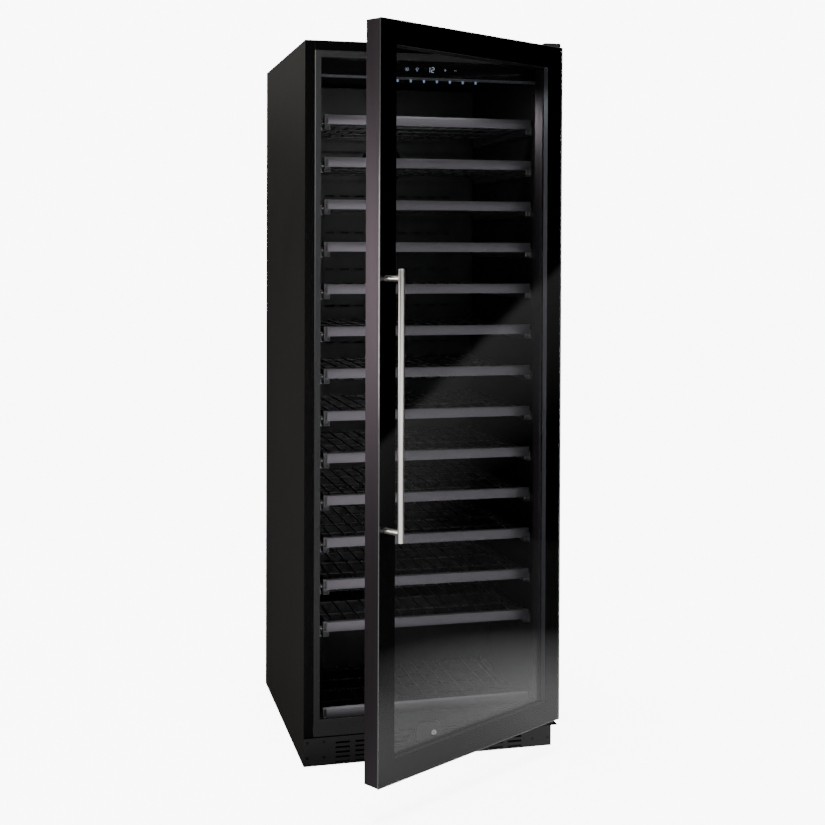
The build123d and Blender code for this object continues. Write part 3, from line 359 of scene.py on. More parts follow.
forward = Vector((
    math.sin(CAMERA_YAW) * math.cos(CAMERA_PITCH),
    math.cos(CAMERA_YAW) * math.cos(CAMERA_PITCH),
    math.sin(CAMERA_PITCH),
))
right = Vector((math.cos(CAMERA_YAW), -math.sin(CAMERA_YAW), 0))
up = right.cross(forward)
tilted_right = math.cos(CAMERA_ROLL) * right + math.sin(CAMERA_ROLL) * up
tilted_up = math.cos(CAMERA_ROLL) * up - math.sin(CAMERA_ROLL) * right
clear()
bpy.ops.object.camera_add()
camera = bpy.context.object
turned = Matrix((tilted_right, tilted_up, -forward)).transposed().to_4x4()
camera.matrix_world = Matrix.Translation(CAMERA_PLACE) @ turned
camera.data.sensor_width = 36
camera.data.lens = CAMERA_LENS
camera.data.shift_y = CAMERA_SHIFT
bpy.context.scene.camera = camera
print("camera", tuple(round(x, 3) for x in CAMERA_PLACE))

# %% [markdown]
# A black glossy object is lit by what it mirrors. So the room is dim for reflections and pale
# to look at, which is what a studio gets by keeping its lights off the product. A wide, dim
# screen in front gives the brushed strips one even shade. One lamp high on the left draws
# the cabinet's side, and another lower down draws the door's edge. The floor glows for mirrors
# in front and beside the door, so the glass and the low strips have something pale to show.

# %% Floor, room and lamps
FLOOR_SIZE = 60.0
ROOM_SEEN = 9.0
ROOM_MIRRORED = 0.02
FLOOR_GLOW = 8.6
FLOOR_MIRRORED = 1.4
AHEAD_RIGHT = 0.33      # where the glow ahead ends at the right, level with the cooler's front
AHEAD_SLANT = 0.6       # how much further right it reaches, for each metre forward
AHEAD_BACK = -0.1       # the Y where it ends towards the cooler
AHEAD_FADE = 2.0        # how fast it fades at its ends, a metre
BESIDE_PLACE = (0.62, -0.02, 0.0)
BESIDE_REACH = 1.25     # how strong the patch beside the door would be in its middle
BESIDE_FADE = 1.7       # how fast it fades outwards, a metre

world = bpy.data.worlds.new("studio")
bpy.context.scene.world = world
world.use_nodes = True
room = world.node_tree
path = room.nodes.new("ShaderNodeLightPath")
background = room.nodes["Background"]
background.inputs["Color"].default_value = (1, 1, 1, 1)
level = room.nodes.new("ShaderNodeMapRange")
level.inputs["To Min"].default_value = ROOM_MIRRORED
level.inputs["To Max"].default_value = ROOM_SEEN
room.links.new(path.outputs["Is Camera Ray"], level.inputs["Value"])
room.links.new(level.outputs["Result"], background.inputs["Strength"])

clear()
bpy.ops.mesh.primitive_plane_add(size=FLOOR_SIZE)
floor = settle("floor")
pale = Finish("floor_pale")
seen = pale.node("LightPath", out="Is Camera Ray")
speckle = pale.noise(pale.place(), 40.0)
bright = pale.mix(speckle, (0.84, 0.84, 0.83), (0.88, 0.88, 0.87))
spot_x, spot_y = pale.axis("X"), pale.axis("Y")
left_of_end = ((AHEAD_RIGHT - AHEAD_SLANT * spot_y - spot_x) * AHEAD_FADE).clamp()
ahead = left_of_end * ((AHEAD_BACK - spot_y) * AHEAD_FADE).clamp()
beside = pale.node("VectorMath", {"operation": "DISTANCE"}, {
    0: pale.place(), 1: BESIDE_PLACE,
}, out="Value")
patch = (BESIDE_REACH - beside * BESIDE_FADE).clamp()
dim = pale.node("BsdfPrincipled", {}, {
    "Base Color": (0.03, 0.03, 0.03, 1), "Roughness": 0.9, "Specular IOR Level": 0.0,
    "Emission Color": pale.mix((ahead + patch).clamp(), (0.0, 0.0, 0.0), (1.0, 1.0, 1.0)),
    "Emission Strength": FLOOR_MIRRORED,
})
lit = pale.node("BsdfPrincipled", {}, {
    "Base Color": bright, "Roughness": 0.9,
    "Emission Color": bright, "Emission Strength": FLOOR_GLOW,
})
both = pale.node("MixShader", {}, {0: seen, 1: dim, 2: lit})
pale.tree.links.new(both.socket, pale.output.inputs["Surface"])
paint(floor, pale)


def softbox(name, place, target, wide, high, power, tint=(1, 1, 1)):
    """A rectangular lamp at a place, turned to a target."""
    lamp = bpy.data.lights.new(name, "AREA")
    lamp.shape = "RECTANGLE"
    lamp.size, lamp.size_y = wide, high
    lamp.energy = power
    lamp.color = tint
    holder = bpy.data.objects.new(name, lamp)
    bpy.context.scene.collection.objects.link(holder)
    place, target = Vector(place), Vector(target)
    holder.location = place
    holder.rotation_mode = "QUATERNION"
    holder.rotation_quaternion = (target - place).to_track_quat("-Z", "Y")
    holder.visible_camera = False
    return holder


sky = bpy.data.lights.new("overhead", "SUN")
sky.energy = 5.6
sky.angle = math.radians(25)
overhead = bpy.data.objects.new("overhead", sky)
bpy.context.scene.collection.objects.link(overhead)
overhead.rotation_euler = (math.radians(4), math.radians(-4), 0)

softbox("side_lamp", (-2.6, 1.6, 3.2), (-0.3, 0.3, 1.5), 1.2, 1.2, 26, (1.0, 0.98, 0.92))
softbox("far_lamp", (-2.0, 6.0, 2.7), (-0.3, 0.3, 1.6), 1.3, 1.2, 2.2, (1.0, 0.98, 0.92))
softbox("front_screen", (0.15, -4.2, 1.0), (0.15, 0, 1.0), 5.5, 2.0, 37)
softbox("bar_lamp", (2.8, -2.6, 1.0), (-0.1, -0.4, 1.0), 0.5, 1.6, 7)
softbox("edge_lamp", (-3.2, 0.46, 1.02), (-0.27, -0.37, 1.02), 0.5, 1.0, 21, (1.0, 0.93, 0.94))

# %% [markdown]
# Large dark glass shows best with one soft diagonal gleam. A card far to the right makes it: it
# glows below a slanting line and fades downwards. Only mirrors see it, never the camera.

# %% Gleam card
CARD_X = 2.6
CARD_SIZE = 2.4
CARD_GLOW = 0.26
GLEAM_LINE = 1.45       # height of the slanting line at the card's Y of nought
GLEAM_EDGE = 25.0       # how hard its edge is, a metre
GLEAM_FADE = 1.6        # how fast the glow dies away below it, a metre
clear()
bpy.ops.mesh.primitive_plane_add(
    size=CARD_SIZE, location=(CARD_X, -0.6, 1.0), rotation=(0, math.radians(-90), 0)
)
card = settle("gleam_card")
gleam = Finish("gleam_glow")
below = GLEAM_LINE + gleam.axis("Y") - gleam.axis("Z")
shine = (below * GLEAM_EDGE).clamp() * (1 - below * GLEAM_FADE).clamp()
glow = gleam.node("Emission", {}, {
    "Color": gleam.mix(shine, (0.0, 0.0, 0.0), (1.0, 1.0, 1.0)), "Strength": CARD_GLOW,
})
away = gleam.node("BsdfTransparent")
card_seen = gleam.node("LightPath", out="Is Camera Ray")
card_both = gleam.node("MixShader", {}, {0: card_seen, 1: glow, 2: away})
gleam.tree.links.new(card_both.socket, gleam.output.inputs["Surface"])
paint(card, gleam)
print("card", [round(x, 2) for x in card.dimensions])

# %% [markdown]
# Finishes. Powder coat, moulded plastic and rubber are all dark with a fine grain; what tells
# them apart is how rough they are and how large the grain is. One function makes that family,
# and a second makes brushed metal, whose grain is drawn out along one direction.

# %% Grained and brushed finishes
DOOR_ANGLE = -math.radians(joints["door_hinge"]["range_deg"][0])
HINGE_AXIS = Vector(joints["door_hinge"]["pos_m"])
DOOR_PLACE = {"turn": -DOOR_ANGLE, "centre": (HINGE_AXIS.x, HINGE_AXIS.y, 0)}

# The front fold of the panels is painted near black and metallic by where it lies: a painted shade,
# not the coat's own colour.
FRONT_FOLD_PAINTED_SHADE = (0.006, 0.006, 0.006)
FRONT_FOLD_PAINTED_METAL = 0.9


def grained(
    name, shade, rough, grain=900.0, depth=0.00004, spread=0.06, metal=0.0, place=None, shine=0.5,
    front=None,
):
    """Powder coat, moulding or rubber: fine grain, and faint cloudy change in colour and gloss.

    What lies ahead of the plane called front is painted near black and mirrors like metal: a
    painted shade on the front fold.
    """
    finish = Finish(name)
    where = finish.place(**(place or {}))
    fine = finish.noise(where, grain)
    cloud = finish.noise(where, 6.0, 4.0)
    dark = tuple(channel * (1 - 3 * spread) for channel in shade)
    light = tuple(channel * (1 + 3 * spread) for channel in shade)
    colour = finish.mix(cloud, dark, light)
    if front:
        painted_front_fold = 1 - (finish.axis("Y", where) > front)
        colour = finish.mix(painted_front_fold, colour, FRONT_FOLD_PAINTED_SHADE)
        metal = FRONT_FOLD_PAINTED_METAL * painted_front_fold
    return finish.surface(
        Base_Color=colour,
        Roughness=(rough - spread) + 2 * spread * (0.6 * fine + 0.4 * cloud),
        Normal=finish.bump(fine, 0.6, depth),
        Metallic=metal, Specular_IOR_Level=shine,
    )


HAIR_ALONG = 4.0        # noise scale along the brushing, a metre, for hair lines
BAND_ALONG = 1.5        # and for the broader bands among them


def brushed(name, shade, rough, axis, metal=1.0, spread=0.1, place=None, across=900.0):
    """Metal brushed along one axis: hair lines in colour, gloss and height."""
    finish = Finish(name)
    scale = [across] * 3
    scale[axis] = HAIR_ALONG
    where = finish.place(**(place or {}), scale=scale)
    coarse_scale = [across / 9] * 3
    coarse_scale[axis] = BAND_ALONG
    coarse = finish.noise(finish.place(**(place or {}), scale=coarse_scale), 1.0, 2.0)
    hair = finish.noise(where, 1.0, 4.0, 0.7)
    lines = 0.55 * hair + 0.45 * coarse
    dark = tuple(channel * (1 - 2 * spread) for channel in shade)
    light = tuple(channel * (1 + 2 * spread) for channel in shade)
    return finish.surface(
        Base_Color=finish.mix(lines, dark, light),
        Roughness=(rough - spread) + 2 * spread * lines,
        Normal=finish.bump(lines, 0.35, 0.00003),
        Metallic=metal,
    )


# The panels' front fold, ahead of this plane, is painted darker: a painted shade.
FLANGE_BACK = 0.9 * MM
shell_coat = grained(
    "shell_coat", (0.020, 0.0185, 0.0165), 0.42, 1400.0, shine=0.22, front=FLANGE_BACK
)
plinth_coat = grained("plinth_coat", (0.017, 0.017, 0.016), 0.45, 1400.0, shine=0.4)
tray_moulding = grained("tray_moulding", (0.012, 0.012, 0.0125), 0.46, 700.0)
duct_moulding = grained("duct_moulding", (0.010, 0.010, 0.011), 0.5, 700.0)
fan_moulding = grained("fan_moulding", (0.012, 0.012, 0.012), 0.4, 900.0)
pale_moulding = grained("pale_moulding", (0.17, 0.165, 0.175), 0.45, 900.0)
guide_grey = grained("guide_grey", (0.085, 0.085, 0.09), 0.5, 900.0)
seal_rubber = grained("seal_rubber", (0.010, 0.010, 0.010), 0.62, 500.0, 0.00006)
mount_rubber = grained("mount_rubber", (0.014, 0.013, 0.012), 0.7, 500.0, 0.00006)
wire_coat = grained("wire_coat", (0.03, 0.03, 0.032), 0.28, 700.0, 0.00002)
gloss_moulding = grained("gloss_moulding", (0.004, 0.004, 0.005), 0.09, 300.0, 0.000004, 0.03)
compressor_enamel = grained("compressor_enamel", (0.008, 0.008, 0.008), 0.3, 160.0, 0.00012)
frit_print = grained("frit_print", (0.001, 0.001, 0.001), 0.5, 300.0, 0.000002, 0.03, shine=0.0)
foam_cream = grained("foam_cream", (0.75, 0.62, 0.33), 0.9, 60.0, 0.0012, 0.08)

strip_metal = brushed("strip_metal", (0.185, 0.170, 0.193), 0.38, 0, 0.75, spread=0.06)
# The bottom strip's copy of the strip finish is painted paler and less metallic than the others:
# painted light, so it looks as evenly lit as the strips above.
strip_metal_painted_paler = brushed("strip_metal_painted_paler", (0.25, 0.235, 0.26), 0.5, 0, 0.35, spread=0.06)
FRAME_SHADE = (0.052, 0.044, 0.050)
frame_metal_upright = brushed("frame_metal_upright", FRAME_SHADE, 0.38, 2, place=DOOR_PLACE)
frame_metal_level = brushed("frame_metal_level", FRAME_SHADE, 0.38, 0, place=DOOR_PLACE)
reveal_metal = brushed("reveal_metal", (0.12, 0.125, 0.14), 0.4, 2, place=DOOR_PLACE)
stainless = brushed("stainless", (0.74, 0.72, 0.67), 0.3, 2, place=DOOR_PLACE, across=1600.0)
hinge_steel = brushed("hinge_steel", (0.5, 0.5, 0.51), 0.35, 0)
rail_zinc = brushed("rail_zinc", (0.42, 0.42, 0.43), 0.3, 1)
black_steel = brushed("black_steel", (0.02, 0.02, 0.02), 0.4, 0)
print("finishes", len(bpy.data.materials))

# %% [markdown]
# The zinc coating of the back panel and rear grille has spangle: flat crystals, each with its
# own gloss. A Voronoi pattern gives one random value per cell, which is what a crystal needs.

# %% Zinc, tube and copper finishes


def spangled(name, shade, rough, cell):
    """Galvanised sheet with crystals of a given size."""
    finish = Finish(name)
    where = finish.place()
    crystal = finish.node("TexVoronoi", {}, {"Vector": where, "Scale": 1 / cell}, out="Color")
    each = finish.node("SeparateColor", {}, {0: crystal})
    haze = finish.noise(where, 3.0)
    dark = tuple(channel * 0.82 for channel in shade)
    return finish.surface(
        Base_Color=finish.mix(0.7 * each + 0.3 * haze, dark, shade),
        Roughness=(rough - 0.1) + 0.2 * each,
        Normal=finish.bump(each, 0.2, 0.00005),
        Metallic=1.0,
    )


zinc_sheet = spangled("zinc_sheet", (0.46, 0.47, 0.48), 0.42, 0.012)
tube_metal = grained("tube_metal", (0.55, 0.56, 0.57), 0.34, 220.0, 0.00003, 0.05, 1.0)
copper_tube = grained("copper_tube", (0.62, 0.30, 0.18), 0.32, 180.0, 0.00003, 0.06, 1.0)
plated_brass = grained("plated_brass", (0.62, 0.60, 0.55), 0.2, 300.0, 0.00002, 0.05, 1.0)
blackened = grained("blackened", (0.03, 0.03, 0.03), 0.35, 400.0, 0.00003, 0.05, 1.0)

# The liner is one moulding. Its lip in front is painted paler than the rest, and a painted
# highlight runs along its rim, both brighter the higher up.
LIP_BACK = 2.6 * MM
RIM_WIDTH = 1.3 * MM
# These set the rim's painted highlight and the lip's painted paleness, both rising with height.
RIM_HIGHLIGHT_START = 0.85        # height in metres at which the rim begins to show
RIM_HIGHLIGHT_RISE = 1.6          # how fast the rim brightens with height, a metre
LIP_PAINTED_RISE = 0.7          # and the lip's face
liner_moulding = Finish("liner_moulding")
liner_place = liner_moulding.place()
liner_grain = liner_moulding.noise(liner_place, 700.0)
liner_cloud = liner_moulding.noise(liner_place, 5.0)
on_lip = 1 - (liner_moulding.axis("Y", liner_place) > LIP_BACK)
rim_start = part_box("inner_liner")[1].x - RIM_WIDTH
aside = liner_moulding.axis("X", liner_place).size()
height = liner_moulding.axis("Z", liner_place)
# Painted highlight along the rim and painted paleness of the lip, growing with height.
painted_rim_highlight = (aside > rim_start) * ((height - RIM_HIGHLIGHT_START) * RIM_HIGHLIGHT_RISE).clamp()
deep_shade = liner_moulding.mix(liner_cloud, (0.009, 0.009, 0.0095), (0.014, 0.014, 0.0145))
lip_painted_light = liner_moulding.mix(
    (height * LIP_PAINTED_RISE).clamp(), (0.018, 0.018, 0.019), (0.040, 0.040, 0.042)
)
lip_with_painted_rim = liner_moulding.mix(painted_rim_highlight, lip_painted_light, (0.30, 0.30, 0.30))
liner_moulding.surface(
    Base_Color=liner_moulding.mix(on_lip, deep_shade, lip_with_painted_rim),
    Roughness=0.38 + 0.1 * liner_grain + 0.06 * liner_cloud,
    Normal=liner_moulding.bump(liner_grain, 0.6, 0.00005), Specular_IOR_Level=0.3,
)
print("finishes", len(bpy.data.materials))

# %% [markdown]
# Glass in a door is seen twice over: what lies behind it, a little darkened, and what it
# mirrors. A Mix Shader between a clear shader and a mirror, by the Fresnel share, says exactly
# that. It lets lamps through, which a bending glass shader would not do without caustics.

# %% Glass finish


def pane_glass(name, tint, smear):
    """Flat glass: clear and mirror mixed by angle, with a faint wipe mark in its gloss."""
    finish = Finish(name)
    inside = finish.node("NewGeometry", out="Backfacing")
    share = finish.node("Fresnel", {}, {"IOR": 1.5}) * (1 - inside)
    marks = finish.noise(finish.place(**DOOR_PLACE, scale=(3, 3, 9)), 2.0, 5.0)
    clear_part = finish.node("BsdfTransparent", {}, {"Color": (*tint, 1)})
    mirror_part = finish.node("BsdfPrincipled", {}, {
        "Base Color": (1, 1, 1, 1), "Metallic": 1.0, "Roughness": smear * marks,
    })
    both = finish.node("MixShader", {}, {0: share, 1: clear_part, 2: mirror_part})
    finish.tree.links.new(both.socket, finish.output.inputs["Surface"])
    return finish


door_glass = pane_glass("door_glass", (0.90, 0.905, 0.905), 0.03)
inner_glass = pane_glass("inner_glass", (0.965, 0.97, 0.97), 0.03)

polished_edge = Finish("polished_edge")
edge_marks = polished_edge.noise(polished_edge.place(**DOOR_PLACE), 120.0)
polished_edge.surface(
    Base_Color=polished_edge.mix(edge_marks, (0.085, 0.09, 0.09), (0.13, 0.135, 0.135)),
    Roughness=0.14 + 0.1 * edge_marks, Metallic=0.5,
)
print("glass made")

# %% [markdown]
# Pieces of the door are easiest to model with the door shut, when they lie square to the axes.
# Afterwards each is turned about the hinge to where the door stands. This cell works out the
# shut door's outline from the CAD pane, turned back.

# %% The door's own square frame
to_hinge = Matrix.Translation(HINGE_AXIS)
open_door = to_hinge @ Matrix.Rotation(DOOR_ANGLE, 4, "Z") @ to_hinge.inverted()
shut_door = open_door.inverted()


def shut_box(node):
    """Lowest and highest corner of a door node with the door shut."""
    corners = [shut_door @ vertex.co for vertex in nodes[node].data.vertices]
    low = Vector(min(corner[axis] for corner in corners) for axis in range(3))
    high = Vector(max(corner[axis] for corner in corners) for axis in range(3))
    return low, high


def hang(piece, *replaced):
    """Turn a finished door piece to the door's stored place and let it ride on the door."""
    piece.data.transform(open_door)
    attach(piece, "door")
    if replaced:
        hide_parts(*replaced)
    return piece


def ring(name, low, high, width):
    """A flat picture frame standing in the door's plane: a box with its middle cut away."""
    piece = block(name, low, high)
    edit(piece, "FACE", lambda face: abs(face.normal.y) > 0.9)
    bpy.ops.mesh.inset(thickness=width)
    bpy.ops.mesh.bridge_edge_loops()
    clear()
    return piece


pane_low, pane_high = shut_box("door_outer_glass")
inner_low, inner_high = shut_box("door_inner_glass")
frame_low, frame_high = shut_box("door_frame")
seal_low, seal_high = shut_box("door_gasket")
print("shut pane", [round(x, 4) for x in (*pane_low, *pane_high)])

# %% [markdown]
# The front pane covers the whole door. Real toughened glass has a polished chamfer all round,
# which catches a bright line of light, and a black ceramic print fired on its back round the
# window. So it is two pieces: the clear slab, whose ground edge has a finish of its own, and
# the print behind it.

# %% Outer glass, its edge and its printed border
PRINT_THICK = 0.25 * MM
PRINT_GAP = 0.02 * MM
PRINT_WIDTH = 50.3 * MM
EDGE_CHAMFER = 0.9 * MM

pane = block("glass_pane", pane_low, pane_high - Vector((0, PRINT_THICK + PRINT_GAP, 0)))
ease(pane, EDGE_CHAMFER, 1, 60)
paint(pane, door_glass)
pane.data.materials.append(polished_edge.material)
for face in pane.data.polygons:
    if abs(face.normal.y) < 0.9:
        face.material_index = 1
hang(pane, "door_outer_glass")

print_inset = Vector((EDGE_CHAMFER, 0, EDGE_CHAMFER))
print_low = Vector((pane_low.x, pane_high.y - PRINT_THICK, pane_low.z)) + print_inset
border = ring("glass_print", print_low, pane_high - print_inset, PRINT_WIDTH - EDGE_CHAMFER)
paint(border, frit_print)
hang(border)
print("pane faces", len(pane.data.polygons), "print faces", len(border.data.polygons))

# %% [markdown]
# The inner pane closes the double glazing. It is a plain clear slab with small ground edges.

# %% Inner glass
inner_pane = block("inner_glass_pane", inner_low, inner_high)
ease(inner_pane, 0.4 * MM, 1, 60)
paint(inner_pane, inner_glass)
hang(inner_pane, "door_inner_glass")

# %% [markdown]
# The door's frame is four aluminium extrusions cut at 45 degrees. The CAD solids have the right
# section, rebate and screw holes. Here each edge only needs the small radius that an extrusion
# die leaves, so that it catches the light. The brush lines follow each member, so uprights and
# level members have their own finish, told apart by where their faces lie.

# %% Door frame
rails = cad_copy("door_frame", "door_frame_rails")
rails.data.materials.clear()
for finish in (frame_metal_upright, frame_metal_level):
    rails.data.materials.append(finish.material)
ease(rails, 0.35 * MM, 1, 40)
for face in rails.data.polygons:
    middle = shut_door @ face.center
    side_gap = min(middle.x - frame_low.x, frame_high.x - middle.x)
    end_gap = min(middle.z - frame_low.z, frame_high.z - middle.z)
    face.material_index = 0 if side_gap < end_gap else 1
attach(rails, "door")
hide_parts("door_frame")
print("frame faces", len(rails.data.polygons))

# %% [markdown]
# Between the panes runs the spacer. Its brushed metal lines the reveal round the window.

# %% Spacer
paint(nodes["glass_spacer"], reveal_metal)

# %% [markdown]
# The seal is a soft black bellows with a magnet inside. Seen from behind the open door it is a
# rounded tube on a flat foot, so it is modelled as a ring for the foot and a rounder ring on it.

# %% Door seal
FOOT_THICK = 1.4 * MM
FOOT_WIDTH = 14 * MM
TUBE_IN = 2 * MM
TUBE_WIDTH = FOOT_WIDTH - 2 * TUBE_IN
foot_high = Vector((seal_high.x, seal_low.y + FOOT_THICK, seal_high.z))
seal_foot = ring("seal_foot", seal_low, foot_high, FOOT_WIDTH)
tube_inset = Vector((TUBE_IN, 0, TUBE_IN))
tube_low = seal_low + tube_inset + Vector((0, FOOT_THICK * 0.9, 0))
seal_tube = ring("seal_tube", tube_low, seal_high - tube_inset, TUBE_WIDTH)
ease(seal_tube, 1.9 * MM, 4)
ease(seal_foot, 0.5 * MM, 2)
seal = join("door_seal", [seal_foot, seal_tube])
paint(seal, seal_rubber)
hang(seal, "door_gasket")
print("seal faces", len(seal.data.polygons))

# %% [markdown]
# The handle is a solid stainless bar on two posts. Its ends are turned with a small chamfer,
# and it is satin all along its length, so its highlights stretch into long bright lines.

# %% Handle
bar_low, bar_high = shut_box("handle_bar")
bar_middle = (bar_low + bar_high) / 2
bar_radius = (bar_high.x - bar_low.x) / 2
bar = rod(
    "handle_rod", (bar_middle.x, bar_middle.y, bar_low.z), (bar_middle.x, bar_middle.y, bar_high.z),
    bar_radius, 64,
)
ease(bar, 0.9 * MM, 3, 60)
paint(bar, stainless)
hang(bar, "handle_bar")
for node in ("handle_posts", "handle_screws"):
    paint(nodes[node], stainless)

# %% [markdown]
# Shelves. Each is a folded metal strip in front, a rack of coated wires behind it, and a slide
# at each side. One of each is modelled on the top shelf and copied down, each with its own
# mesh, because every shelf slides by itself.

# %% Shelf strip
STRIP_HEIGHT = 22 * MM
STRIP_DEPTH = 14 * MM
STRIP_SHEET = 1.5 * MM
FOLD_RADIUS = 0.6 * MM
NEAR = 0.1 * MM
shelf_names = sorted(name for name in nodes if name.startswith("shelf_"))
top_low, top_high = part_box(shelf_names[0])
GLIDE_HEIGHT = 12 * MM
STRIP_RIGHT = 254 * MM
strip_base = top_low.z + GLIDE_HEIGHT
shelf_front = top_low.y
half = 237 * MM


def make_strip(name):
    """The folded strip: a channel, open at the back. At the right it hides the slide."""
    high = (STRIP_RIGHT, shelf_front + STRIP_DEPTH, strip_base + STRIP_HEIGHT)
    strip = block(name, (-half, shelf_front, strip_base), high)
    edit(strip, "FACE", facing(1, 1))
    bpy.ops.mesh.inset(thickness=STRIP_SHEET)
    bpy.ops.mesh.extrude_region_move(
        TRANSFORM_OT_translate={"value": (0, STRIP_SHEET - STRIP_DEPTH, 0)}
    )
    runs_across = along(0)
    edit(strip, "EDGE", lambda edge: runs_across(edge) and edge.verts[0].co.y < shelf_front + NEAR)
    bpy.ops.mesh.bevel(offset=FOLD_RADIUS, segments=2)
    clear()
    return ease(strip, 0.25 * MM, 1, 50)


strip = make_strip("strip_pattern")
print("strip base", round(strip_base, 4), "faces", len(strip.data.polygons))

# %% [markdown]
# The rack is welded from round wire: cross rods underneath and long wires on top, with flat
# bars at the sides. The long wires end in small domes.

# %% Wire rack
WIRE_RADIUS = 1.75 * MM
ROD_RADIUS = 2.5 * MM
WIRE_PITCH = 33 * MM
WIRE_COUNT = 14
ROD_COUNT = 5
ROD_LIFT = 5 * MM
BAR_THICK = 2 * MM
BAR_HEIGHT = 14 * MM


def wire(name, start, end, radius):
    """A cut wire with domed ends."""
    made = rod(name, start, end, radius, 10)
    return ease(made, radius * 0.6, 2, 60)


def make_rack(name, back):
    """Rods, wires and side bars between the strip and the back of the rack."""
    front = shelf_front + STRIP_DEPTH
    inside = half - BAR_THICK
    rod_height = strip_base + STRIP_SHEET + ROD_LIFT
    span = back - front - 8 * ROD_RADIUS
    pieces = []
    for index in range(ROD_COUNT):
        y = front + 4 * ROD_RADIUS + span * index / (ROD_COUNT - 1)
        pieces.append(wire("rod", (-inside, y, rod_height), (inside, y, rod_height), ROD_RADIUS))
    wire_height = rod_height + ROD_RADIUS + WIRE_RADIUS * 0.9
    for index in range(WIRE_COUNT):
        x = (index - (WIRE_COUNT - 1) / 2) * WIRE_PITCH
        pieces.append(wire("wire", (x, front, wire_height), (x, back, wire_height), WIRE_RADIUS))
    for side in (-1, 1):
        edges = sorted((side * inside, side * half))
        low = (edges[0], front, strip_base + STRIP_SHEET)
        high = (edges[1], back, strip_base + STRIP_SHEET + BAR_HEIGHT)
        pieces.append(ease(block("bar", low, high), 0.5 * MM, 2))
    return join(name, pieces)


rack = make_rack("rack_pattern", top_high.y)
print("rack faces", len(rack.data.polygons))

# %% [markdown]
# Each slide is a channel that runs inside the wall rail, with a flat arm that carries the rack.
# Beside the strip's left end sit a pale C-shaped bracket and a dark guide block.

# %% Slides, bracket and guide block
WALL = 261 * MM
SLIDE_START = 60 * MM
RAIL_SHEET = 1.8 * MM
SLIDE_WIDTH = 13 * MM
SLIDE_HEIGHT = 18.4 * MM
SLIDE_DEEP = 9.6 * MM
ARM_THICK = 3 * MM
BRACKET_IN = 16 * MM
BRACKET_FRONT, BRACKET_BACK, BRACKET_DEEP = 1 * MM, 12 * MM, 8 * MM
BRACKET_GAP = 0.05 * MM
GLIDE_IN = 30 * MM
GLIDE_FRONT, GLIDE_BACK, GLIDE_DEEP = 4 * MM, 20 * MM, 4 * MM


def make_slides(name):
    """Both moving channels with their arms."""
    pieces = []
    for side in (-1, 1):
        outer, inner = side * (WALL - RAIL_SHEET), side * (WALL - SLIDE_WIDTH)
        low_z = strip_base - SLIDE_WIDTH + RAIL_SHEET
        xs = sorted((outer, inner))
        high = (xs[1], top_high.y, low_z + SLIDE_HEIGHT)
        channel = block("channel", (xs[0], SLIDE_START, low_z), high)
        edit(channel, "FACE", facing(0, side))
        bpy.ops.mesh.inset(thickness=STRIP_SHEET)
        bpy.ops.mesh.extrude_region_move(
            TRANSFORM_OT_translate={"value": (-side * SLIDE_DEEP, 0, 0)}
        )
        clear()
        xs = sorted((inner, side * half))
        arm_low = (xs[0], SLIDE_START, strip_base + STRIP_SHEET)
        arm = block("arm", arm_low, (xs[1], top_high.y, strip_base + STRIP_SHEET + ARM_THICK))
        pieces += [ease(channel, 0.4 * MM, 2), ease(arm, 0.5 * MM, 2)]
    return join(name, pieces)


def make_bracket(name):
    """The end bracket at the strip's left: a shallow C, hollow in front."""
    low = (BRACKET_IN - WALL, shelf_front + BRACKET_FRONT, strip_base)
    high = (-half - BRACKET_GAP, shelf_front + BRACKET_BACK, strip_base + STRIP_HEIGHT)
    bracket = block(name, low, high)
    edit(bracket, "FACE", facing(1, -1))
    bpy.ops.mesh.inset(thickness=STRIP_SHEET)
    bpy.ops.mesh.extrude_region_move(TRANSFORM_OT_translate={"value": (0, BRACKET_DEEP, 0)})
    clear()
    return ease(bracket, 0.4 * MM, 2)


def make_glide(name):
    """The guide block under the strip's left end, with a slot across its front."""
    low = (BRACKET_IN - WALL, shelf_front + GLIDE_FRONT, strip_base - GLIDE_HEIGHT)
    glide = block(name, low, (GLIDE_IN - WALL, shelf_front + GLIDE_BACK, strip_base))
    edit(glide, "FACE", facing(1, -1))
    bpy.ops.mesh.inset(thickness=2.5 * MM)
    bpy.ops.mesh.extrude_region_move(TRANSFORM_OT_translate={"value": (0, GLIDE_DEEP, 0)})
    clear()
    return ease(glide, 0.6 * MM, 2)


slides = make_slides("slides_pattern")
bracket = make_bracket("bracket_pattern")
glide = make_glide("glide_pattern")
print("slide faces", len(slides.data.polygons))

# %% [markdown]
# All thirteen shelves are alike, so each pattern piece is copied down, painted, and set to ride
# on the body of its own shelf.

# %% Copy the shelf down the cabinet
patterns = [
    (strip, "strip", strip_metal, "strip_metal"),
    (rack, "rack", wire_coat, "strip_metal"),
    (slides, "slides", rail_zinc, "strip_metal"),
    (bracket, "bracket", pale_moulding, "strip_metal"),
    (glide, "glide", guide_grey, "strip_metal"),
]
for node in shelf_names:
    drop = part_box(node)[0].z - top_low.z
    number = node[-2:]
    for pattern, part, finish, slot in patterns:
        piece = paint(copy_of(pattern, "shelf_" + part + "_" + number, (0, 0, drop)), finish)
        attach(piece, "sliding_shelf_" + number)
        if part == "strip":
            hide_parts(node)
print("shelves", len(shelf_names))

# %% [markdown]
# The lowest shelf stands still on the cavity floor, and its rack stops short at the step over
# the machine compartment, so it gets a rack of its own length.

# %% Bottom shelf
bottom_low, bottom_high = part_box("bottom_shelf")
drop = (0, 0, bottom_low.z - strip_base)
